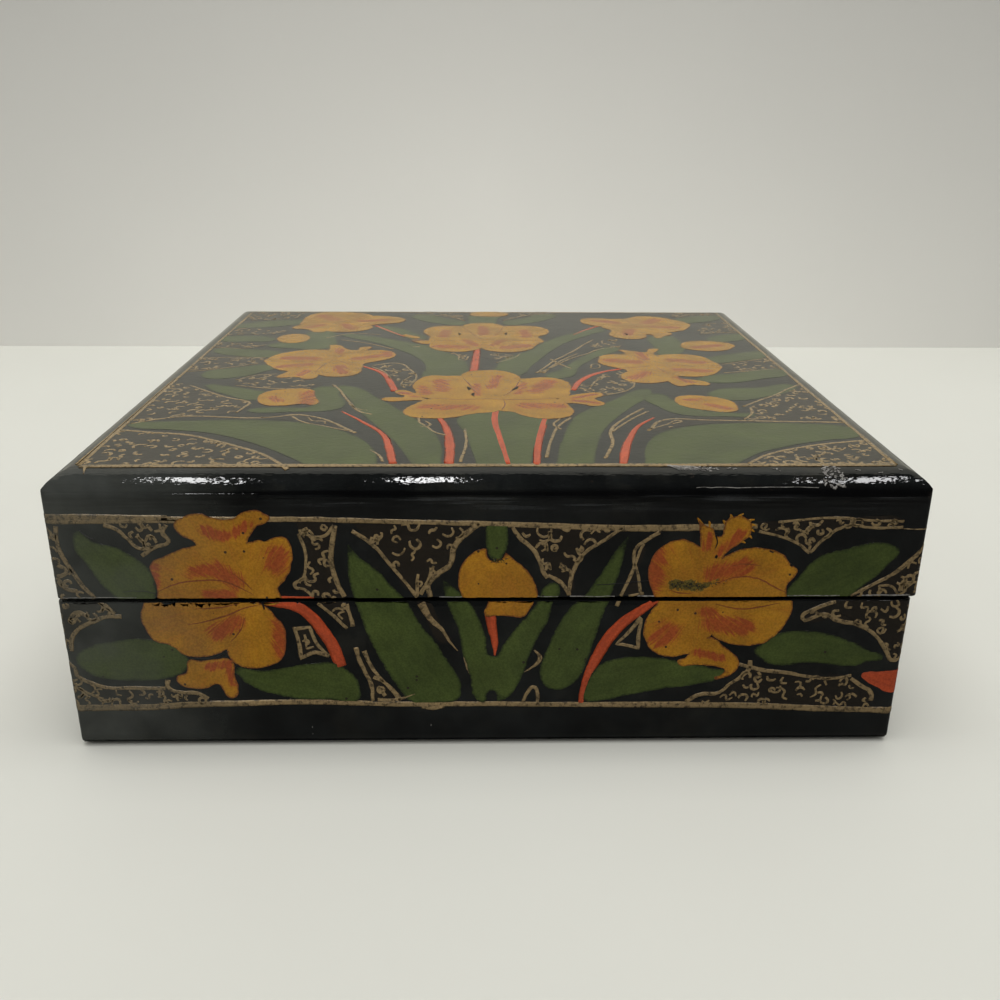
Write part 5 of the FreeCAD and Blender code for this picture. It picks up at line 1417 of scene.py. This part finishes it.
def topPlacer(low, high):
    run = case["edgeRun"]
    surface = case["top"] - case["skinInset"]

    def dip(value, start, end):
        past = max(start + run - value, value - end + run, 0.0)
        return edgeRadius - math.sqrt(edgeRadius**2 - past**2)

    def place(point):
        drop = max(dip(point.x, low.x, high.x), dip(point.y, low.y, high.y))
        return Vector((point.x, point.y, surface - drop + point.z))

    return place


# The two halves. Each gathers its paint by colour, and frets it at its rim: up is where the rim
# lies from the paint, margin is how far from it the paint stops.
halves = {
    "base": {"low": baseLow, "high": baseHigh, "rim": case["baseRim"], "up": 1, "margin": 0.2,
             "fretSeed": 8.0, "frets": 0.9, "chips": (-59, -41, 0.15, 2.4)},  # from, to, more and most
    "lid": {"low": lidLow, "high": lidHigh, "rim": case["lidRim"], "up": -1, "margin": 0.1,
            "fretSeed": 3.0, "frets": 0.45},
}
for half in halves.values():
    half["paint"] = newSheet()
rearMargin = 0.72  # at the back, where the rims are bevelled to let the lid lie back
bendZone = 73  # only what lies this far from the middle goes round a corner


def everything(sketch):
    return sketch.verts[:] + sketch.edges[:] + sketch.faces[:]


# Cuts the paint off at a rim, and frets the cut edge as it has worn and chipped
def cutAtRim(sketch, half, height):
    plane = {"plane_co": (0, height, 0), "plane_no": (0, half["up"], 0)}
    cut = bmesh.ops.bisect_plane(sketch, geom=everything(sketch), clear_outer=True, **plane)
    lengths = {e: e.calc_length() for e in cut["geom_cut"] if isinstance(e, bmesh.types.BMEdge)}
    for shortest, longest, cuts in ((1.2, math.inf, 11), (0.3, 1.2, 3)):
        chosen = [e for e, length in lengths.items() if shortest < length <= longest]
        if chosen:
            bmesh.ops.subdivide_edges(sketch, edges=chosen, cuts=cuts)
    for vert in sketch.verts:
        if abs(vert.co.y - height) < 1e-4:
            x, seed, most = vert.co.x, half["fretSeed"], half["frets"]
            fret = noise.noise(Vector((x * 0.8, seed, 0))) * 0.6
            fret += noise.noise(Vector((x * 2.6, seed, 9))) * 0.6
            start, end, more, deepest = half.get("chips", (0, 0, 0, 0))
            if start < x < end:
                fret, most = fret + more, deepest
            vert.co.y -= half["up"] * max(fret, 0.0) * most
    closeHoles(sketch)


def closeHoles(sketch):
    openEdges = [e for e in sketch.edges if e.is_boundary]
    if openEdges:
        bmesh.ops.holes_fill(sketch, edges=openEdges, sides=0)


def layOnBox(sheet, half, place, bends=(), rim=None):
    for paint, flat in sheet.items():
        if not flat.faces:
            continue
        sketch = flat.copy()
        if rim:
            cutAtRim(sketch, half, rim)
        for bend in bends:
            near = withEdges([f for f in sketch.faces if any(abs(v.co.x) > bendZone for v in f.verts)])
            bmesh.ops.bisect_plane(
                sketch, geom=near, plane_co=(bend, 0, 0), plane_no=(math.copysign(1, bend), 0, 0),
                clear_outer=bend in (min(bends), max(bends)),
            )
        closeHoles(sketch)
        for vert in sketch.verts:
            vert.co = place(vert.co)
        bmesh.ops.recalc_face_normals(sketch, faces=sketch.faces)
        laid = bpy.data.meshes.new("laid")
        sketch.to_mesh(laid)
        sketch.free()
        half["paint"][paint].from_mesh(laid)
        bpy.data.meshes.remove(laid)


def paintSide(side, drawing):
    sheet = drawSide(drawing)
    if side == "top":
        layOnBox(sheet, halves["lid"], topPlacer(lidLow, lidHigh))
    else:
        for half in halves.values():
            margin = rearMargin if side == "back" else half["margin"]
            place, bends = sidePlacer(side, half["low"], half["high"])
            layOnBox(sheet, half, place, bends, half["rim"] - half["up"] * margin)
    for flat in sheet.values():
        flat.free()
    print("painted the", side)


# The other sides repeat the front's figures, each painted anew by hand. Everything keeps its place
# near the corners, where the gold lines run on from side to side.
variedHand = {"scale": 0.055, "freeTo": 58, "fixedFrom": 72, "upright": 0.5}


def variedDrawing(drawing, mirror, seed, amount):
    def moved(x, z, *corner):
        calm = amount * (1 - smoothStep(abs(x), variedHand["freeTo"], variedHand["fixedFrom"]))
        dx, dz = sway(x, z, variedHand["scale"], seed, 20)
        x += dx * calm
        return (-x if mirror else x, z + dz * calm * variedHand["upright"], *corner)

    def walk(item):
        if isinstance(item, tuple) and all(isinstance(part, (int, float)) for part in item):
            return moved(*item)
        if isinstance(item, dict):
            return {key: part if key == "wriggle" else walk(part) for key, part in item.items()}
        if isinstance(item, (list, tuple)):
            return type(item)(walk(part) for part in item)
        return item

    varied = walk(drawing)
    varied["cracks"] = varied["scuffs"] = []
    return varied


otherSides = {"right": (True, 3.0, 4.0), "back": (False, 7.0, 5.0), "left": (True, 12.0, 4.5)}
paintSide("front", frontDrawing)
for side, (mirror, seed, amount) in otherSides.items():
    paintSide(side, variedDrawing(frontDrawing, mirror, seed, amount))
paintSide("top", topDrawing)


def newPiece(name, mesh, material, body):
    piece = bpy.data.objects.new(name, mesh)
    bpy.context.scene.collection.objects.link(piece)
    mesh.materials.clear()
    mesh.materials.append(material)
    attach(piece, body)
    return piece


paintSlots = {
    "patch": ("brown_ground", "lacquered_paper"),
    "leaf": ("leaves", "leaf_green_paint"),
    "petal": ("petals", "ochre_paint"),
    "blush": ("petal_shading", "coral_paint"),
    "olive": ("olive_smears", "leaf_green_paint"),
    "stem": ("stems", "coral_paint"),
    "gold": ("gold_scrollwork", "gold_paint"),
    "scuff": ("scuffs", "lacquered_paper"),
    "crack": ("fine_cracks", "lacquered_paper"),
}


# The skins. The frame's own skin is copied and cut into a fine grid, its outside is drawn in a
# little and made uneven, and the wear is painted on it.
skinFinish = {
    "join": 0.001,
    "grid": 2.0,
    "merge": 0.09,
    "sliver": 0.02,
    "flatFrom": 0.999,  # how squarely a flat face looks along an axis
    "wave": 0.05,
    "waveShares": (0.35, 0.65),  # everywhere, and more on the rolled edge
    "swells": ((0.13, 0.6), (0.45, 0.4)),  # the scale and the share of each noise in a wave
    "rimDips": 0.22,
    "rimSags": (0.11, 0.35),  # the scale of the long dips, and how much there is of them
    "rimChips": (0.9, 0.5),  # the same for the short ones
    "rimReach": 1.2,  # how far from a rim the dips fade out
    "rimHold": 0.85,  # the rims are drawn in this much less than the faces
    "rollStart": (-0.6, 0.2),  # the rolled edge begins between these heights from the crease
    "rimWear": 0.12,
    "edgeWear": 0.08,
    "fullWear": 0.3,  # the share of a worn place's radius that is worn the most
    "sharpFrom": 22,  # degrees
}

# Places that handling has worn: x, y, z, radius and amount
wornPlaces = {
    "lid": [
        (36, -73, 53, 4, 0.35), (58, -74.5, 51.6, 3, 0.45), (67, -73.5, 52.6, 5, 0.35),
        (-75, -75, 52, 2.5, 0.4), (76, -75.5, 50, 2.5, 0.5), (76, 20, 52, 3, 0.5), (20, -75.5, 50.2, 5, 0.3),
        (-72, 74, 53, 3, 0.4), (74, 74, 52, 4, 0.5), (75.8, -76, 31, 1.6, 0.8),
    ],
    "base": [
        (-74, -75, 1.5, 2, 0.4), (74.5, -75, 1.5, 2.5, 0.6), (74, 75, 1.5, 2, 0.5), (-50, -76, 29.8, 7, 0.35),
        (-75, 75, 29.6, 2, 0.5), (60, 76, 29.8, 5, 0.3),
    ],
}


def cutIntoGrid(sketch, low, high):
    for axis in range(3):
        facing = Vector((0, 0, 0))
        facing[axis] = 1
        count = int((high[axis] - low[axis]) / skinFinish["grid"])
        for n in range(1, count):
            at = facing * (low[axis] + (high[axis] - low[axis]) * n / count)
            bmesh.ops.bisect_plane(sketch, geom=everything(sketch), plane_co=at, plane_no=facing)
    bmesh.ops.remove_doubles(sketch, verts=sketch.verts, dist=skinFinish["merge"])
    bmesh.ops.dissolve_degenerate(sketch, edges=sketch.edges, dist=skinFinish["sliver"])


# Which way the skin faces at each point of its outside
def outwardNormals(sketch, middle):
    outward = {}
    for face in sketch.faces:
        if face.normal.dot(face.calc_center_median() - middle) > 0:
            for vert in face.verts:
                outward.setdefault(vert, Vector((0, 0, 0)))
                outward[vert] += face.normal * face.calc_area()
    return {vert: normal.normalized() for vert, normal in outward.items()}


def rimDip(p, up):
    (sagScale, sags), (chipScale, chips) = skinFinish["rimSags"], skinFinish["rimChips"]
    sag = noise.noise(Vector((p.x * sagScale, p.y * sagScale, 5.0 * up)))
    chip = noise.noise(Vector((p.x * chipScale, p.y * chipScale, 3.0)))
    return (max(sag + sags, 0.0) + max(chip, 0.0) * chips) * skinFinish["rimDips"]


def wearAt(p, places, least):
    for x, y, z, size, most in places:
        away = (p - Vector((x, y, z))).length
        least = max(least, most * (1 - smoothStep(away, size * skinFinish["fullWear"], size)))
    return least


def skinPiece(halfName, half, places):
    node = halfName + "_paper_skin"
    sketch = bmesh.new()
    sketch.from_mesh(cadNodes[node].data)
    bmesh.ops.scale(sketch, vec=(1 / mm,) * 3, verts=sketch.verts)
    bmesh.ops.remove_doubles(sketch, verts=sketch.verts, dist=skinFinish["join"])
    cutIntoGrid(sketch, half["low"], half["high"])
    wear = sketch.verts.layers.float.new("wear")
    lumps = sketch.verts.layers.float.new("lumps")
    rollFrom, rollFull = (creaseHeight + step for step in skinFinish["rollStart"])
    everywhere, onRoll = skinFinish["waveShares"]
    for vert, normal in outwardNormals(sketch, (half["low"] + half["high"]) / 2).items():
        p = vert.co.copy()
        nearRim = 1 - smoothStep(abs(p.z - half["rim"]), 0.0, skinFinish["rimReach"])
        inward, roll, wornLeast = case["skinInset"], 0.0, skinFinish["rimWear"] * nearRim
        if max(abs(part) for part in normal) <= skinFinish["flatFrom"]:
            if halfName == "lid":
                roll = smoothStep(p.z, rollFrom, rollFull)
            wobble = sum(noise.noise(p * scale) * share for scale, share in skinFinish["swells"])
            inward += skinFinish["wave"] * (1 + wobble) * (everywhere + onRoll * roll)
            wornLeast += skinFinish["edgeWear"]
        inset = normal * inward
        inset.z *= 1 - skinFinish["rimHold"] * nearRim
        vert.co -= inset
        vert.co.z -= half["up"] * nearRim * rimDip(p, half["up"])
        vert[wear] = wearAt(p, places, wornLeast)
        vert[lumps] = roll
    bmesh.ops.scale(sketch, vec=(mm,) * 3, verts=sketch.verts)
    mesh = bpy.data.meshes.new(halfName + "_skin")
    sketch.to_mesh(mesh)
    sketch.free()
    for polygon in mesh.polygons:
        polygon.use_smooth = True
    mesh.set_sharp_from_angle(angle=math.radians(skinFinish["sharpFrom"]))
    piece = newPiece(halfName + "_skin", mesh, paints["ground"], halfName)
    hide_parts(node)
    print("skinned the", halfName, len(mesh.polygons))


for halfName, half in halves.items():
    for paint, sketch in half["paint"].items():
        if sketch.faces:
            bmesh.ops.scale(sketch, vec=(mm,) * 3, verts=sketch.verts)
            label, slot = paintSlots[paint]
            mesh = bpy.data.meshes.new(f"{halfName}_{label}")
            sketch.to_mesh(mesh)
            newPiece(mesh.name, mesh, paints[paint], halfName)
        sketch.free()
    skinPiece(halfName, half, wornPlaces[halfName])


# The frame's own pieces keep their shapes, and get these materials
def useOn(material, names):
    for name in names:
        piece = cadNodes[name]
        piece.data.materials.clear()
        piece.data.materials.append(material)


def liningPaper():
    material, tree, shader, place = newMaterial("liningPaper")
    pulp = ramped(tree, noisy(tree, place, 90.0, 6.0, 0.7), 0.3, 0.7)
    base = mixed(tree, pulp, rgb(0.008, 0.008, 0.009), rgb(0.022, 0.018, 0.015))
    addGrain(tree, shader, place, base, 0.3, 0.4)
    finishLacquer(tree, shader, place, 0.24, crinkle=1.2, handling=0.16, depth=0.25)
    return material


def poplarWood():
    material, tree, shader, place = newMaterial("poplarWood")
    rings = ramped(tree, stretchedNoise(tree, place, (40.0, 300.0, 300.0), 5.0, 0.6), 0.3, 0.7)
    wood = mixed(tree, rings, rgb(0.50, 0.34, 0.19), rgb(0.34, 0.21, 0.11))
    addGrain(tree, shader, place, wood, 0.15, 0.3)
    addBump(tree, shader, rings, 0.1, 0.6)
    tree.links.new(ramped(tree, rings, 0.0, 1.0, 0.6, 0.8), shader.inputs["Roughness"])
    return material


def agedBrass():
    material, tree, shader, place = newMaterial("agedBrass")
    dulled = ramped(tree, noisy(tree, place, 260.0, 5.0, 0.65), 0.38, 0.68)
    color = mixed(tree, dulled, rgb(0.62, 0.42, 0.17), rgb(0.20, 0.12, 0.05))
    addGrain(tree, shader, place, color, 0.2, 0.6)
    shader.inputs["Metallic"].default_value = 1.0
    tree.links.new(ramped(tree, dulled, 0.0, 1.0, 0.25, 0.55), shader.inputs["Roughness"])
    addBump(tree, shader, stretchedNoise(tree, place, (300.0, 3000.0, 3000.0)), 0.02)
    return material


boards = [name for name in cadNodes if name.endswith("_board")]
hinges = [name for name in cadNodes if name.startswith("hinge_")]
useOn(poplarWood(), boards)
useOn(agedBrass(), hinges)
useOn(liningPaper(), ["base_paper_lining", "lid_paper_lining"])
useOn(lacquerGround("undersidePaper", (0.010, 0.010, 0.011), 0.3), ["base_underside_paper"])
print("frame pieces finished")


# The studio: a white table, a pale wall behind it, and soft light from above. Sizes and places
# are in metres here. A shade is a painted shade along an axis: the axis, from, to, and the brightness at
# each.
wallBehind = 0.264
studio = {
    "table": {
        "color": (0.66, 0.66, 0.602), "inGloss": (0.12, 0.12, 0.12), "size": (6.0, 3.0 + wallBehind),
        "place": (0, (wallBehind - 3.0) / 2, 0), "tilt": 0, "glow": 1.0,
        "shade": ("Y", -0.12, 0.12, 0.925, 1.0),
    },
    "wall": {
        "color": (0.63, 0.622, 0.585), "inGloss": (0.86, 0.85, 0.79), "size": (6.0, 1.6),
        "place": (0, wallBehind, 0.8), "tilt": 90, "glow": 1.3,
        "shade": ("Z", 0.0, 0.16, 1.12, 0.77),
    },
    # painted light: the wall is brighter round this place, behind the box
    "glowReach": 0.28,  # the glow lies round this place, which the box hides
    "glowPlace": (0, wallBehind, 0.08),
    "daylight": (1.0, 0.99, 0.97),
    "daylightPower": 0.48,
    "roomInGloss": 0.035,  # the dark room that the lacquer mirrors
    "backdrop": (0.92, 0.91, 0.89),
    "backdropPower": 0.9,
    "softLights": [
        # place, aim, size and power
        ((0.0, -0.2, 1.3), (0.0, 0.0, 0.0), (1.6, 1.2), 11.5),
        ((0.0, -0.05, 0.75), (0.0, 0.27, 0.04), (0.7, 0.2), 1.9),
    ],
    # lamps that only the gloss mirrors: how far to the right each one hangs, its width and its power
    "glintLamps": [(-0.487, 0.10, 2.9), (-0.09, 0.06, 2.3), (0.66, 0.10, 2.1)],
    "glintPlace": (-0.4, 1.55),  # their y and z
    "glintDepth": 0.5,
}


# The lacquer mirrors a table and a wall of other colours than the ones that are seen
def stagePlane(name):
    look = studio[name]
    color = look["color"]
    sketch = bmesh.new()
    bmesh.ops.create_grid(sketch, x_segments=1, y_segments=1, size=0.5)
    bmesh.ops.scale(sketch, vec=(*look["size"], 1), verts=sketch.verts)
    turn = Matrix.Rotation(math.radians(look["tilt"]), 4, "X")
    bmesh.ops.transform(sketch, matrix=Matrix.Translation(look["place"]) @ turn, verts=sketch.verts)
    mesh = bpy.data.meshes.new(name)
    sketch.to_mesh(mesh)
    sketch.free()
    material, tree, shader, where = newMaterial(name)
    tone = ramped(tree, noisy(tree, where, 9.0, 3.0), 0.3, 0.7)
    direct = mixed(tree, tone, tinted(color, 0.97), rgb(*color))
    # painted light, brighter round a place behind the box, and a painted shade along one axis
    away = {0: where, 1: studio["glowPlace"]}
    away = addNode(tree, "VectorMath", away, operation="DISTANCE").outputs["Value"]
    glowing = ramped(tree, away, 0.0, studio["glowReach"], 1.0, 0.0)
    direct = mixed(tree, glowing, direct, tinted(color, look["glow"]))
    axis, *ends = look["shade"]
    dimmed = greyOf(tree, ramped(tree, axesOf(tree, where)[axis], *ends))
    direct = mixed(tree, 1.0, direct, dimmed, "MULTIPLY")
    inGloss = addNode(tree, "LightPath").outputs["Is Glossy Ray"]
    seen = mixed(tree, inGloss, direct, tinted(color, *look["inGloss"]))
    tree.links.new(seen, shader.inputs["Base Color"])
    tree.links.new(ramped(tree, tone, 0.0, 1.0, 0.55, 0.65), shader.inputs["Roughness"])
    # From behind and from below, a stage plane is clear, so that it never hides the box
    behind = addNode(tree, "NewGeometry").outputs["Backfacing"]
    clear = addNode(tree, "BsdfTransparent").outputs[0]
    oneWay = addNode(tree, "MixShader", {0: behind, 1: shader.outputs[0], 2: clear}).outputs[0]
    tree.links.new(oneWay, tree.nodes["Material Output"].inputs["Surface"])
    piece = bpy.data.objects.new(name, mesh)
    mesh.materials.append(material)
    bpy.context.scene.collection.objects.link(piece)
    return piece


def addLamp(place, aim, size, power):
    lamp = bpy.data.objects.new("lamp", bpy.data.lights.new("lamp", "AREA"))
    lamp.data.shape = "RECTANGLE"
    lamp.data.size, lamp.data.size_y = size
    lamp.data.energy = power
    lamp.location = place
    lamp.rotation_euler = (Vector(aim) - Vector(place)).to_track_quat("-Z", "Y").to_euler()
    bpy.context.scene.collection.objects.link(lamp)
    return lamp


def addWorld():
    world = bpy.data.worlds.new("studio")
    world.use_nodes = True
    tree = world.node_tree
    light = tree.nodes["Background"]
    light.inputs["Color"].default_value = rgb(*studio["daylight"])
    light.inputs["Strength"].default_value = studio["daylightPower"]
    room = addNode(tree, "Background", {"Color": rgb(1.0, 1.0, 1.0), "Strength": studio["roomInGloss"]})
    behind = {"Color": rgb(*studio["backdrop"]), "Strength": studio["backdropPower"]}
    behind = addNode(tree, "Background", behind)
    rays = addNode(tree, "LightPath").outputs
    both = addNode(tree, "MixShader", {0: rays["Is Glossy Ray"], 1: light.outputs[0], 2: room.outputs[0]})
    both = addNode(tree, "MixShader", {0: rays["Is Camera Ray"], 1: both.outputs[0], 2: behind.outputs[0]})
    tree.links.new(both.outputs[0], tree.nodes["World Output"].inputs["Surface"])
    bpy.context.scene.world = world
    bpy.context.scene.view_settings.view_transform = "Standard"


stagePlane("table")
stagePlane("wall").visible_shadow = False
for place, aim, size, power in studio["softLights"]:
    addLamp(place, aim, size, power).visible_glossy = False
y, z = studio["glintPlace"]
for x, width, power in studio["glintLamps"]:
    addLamp((x, y, z), (x, y, 0.0), (width, studio["glintDepth"]), power).visible_diffuse = False
addWorld()
print("studio lit")
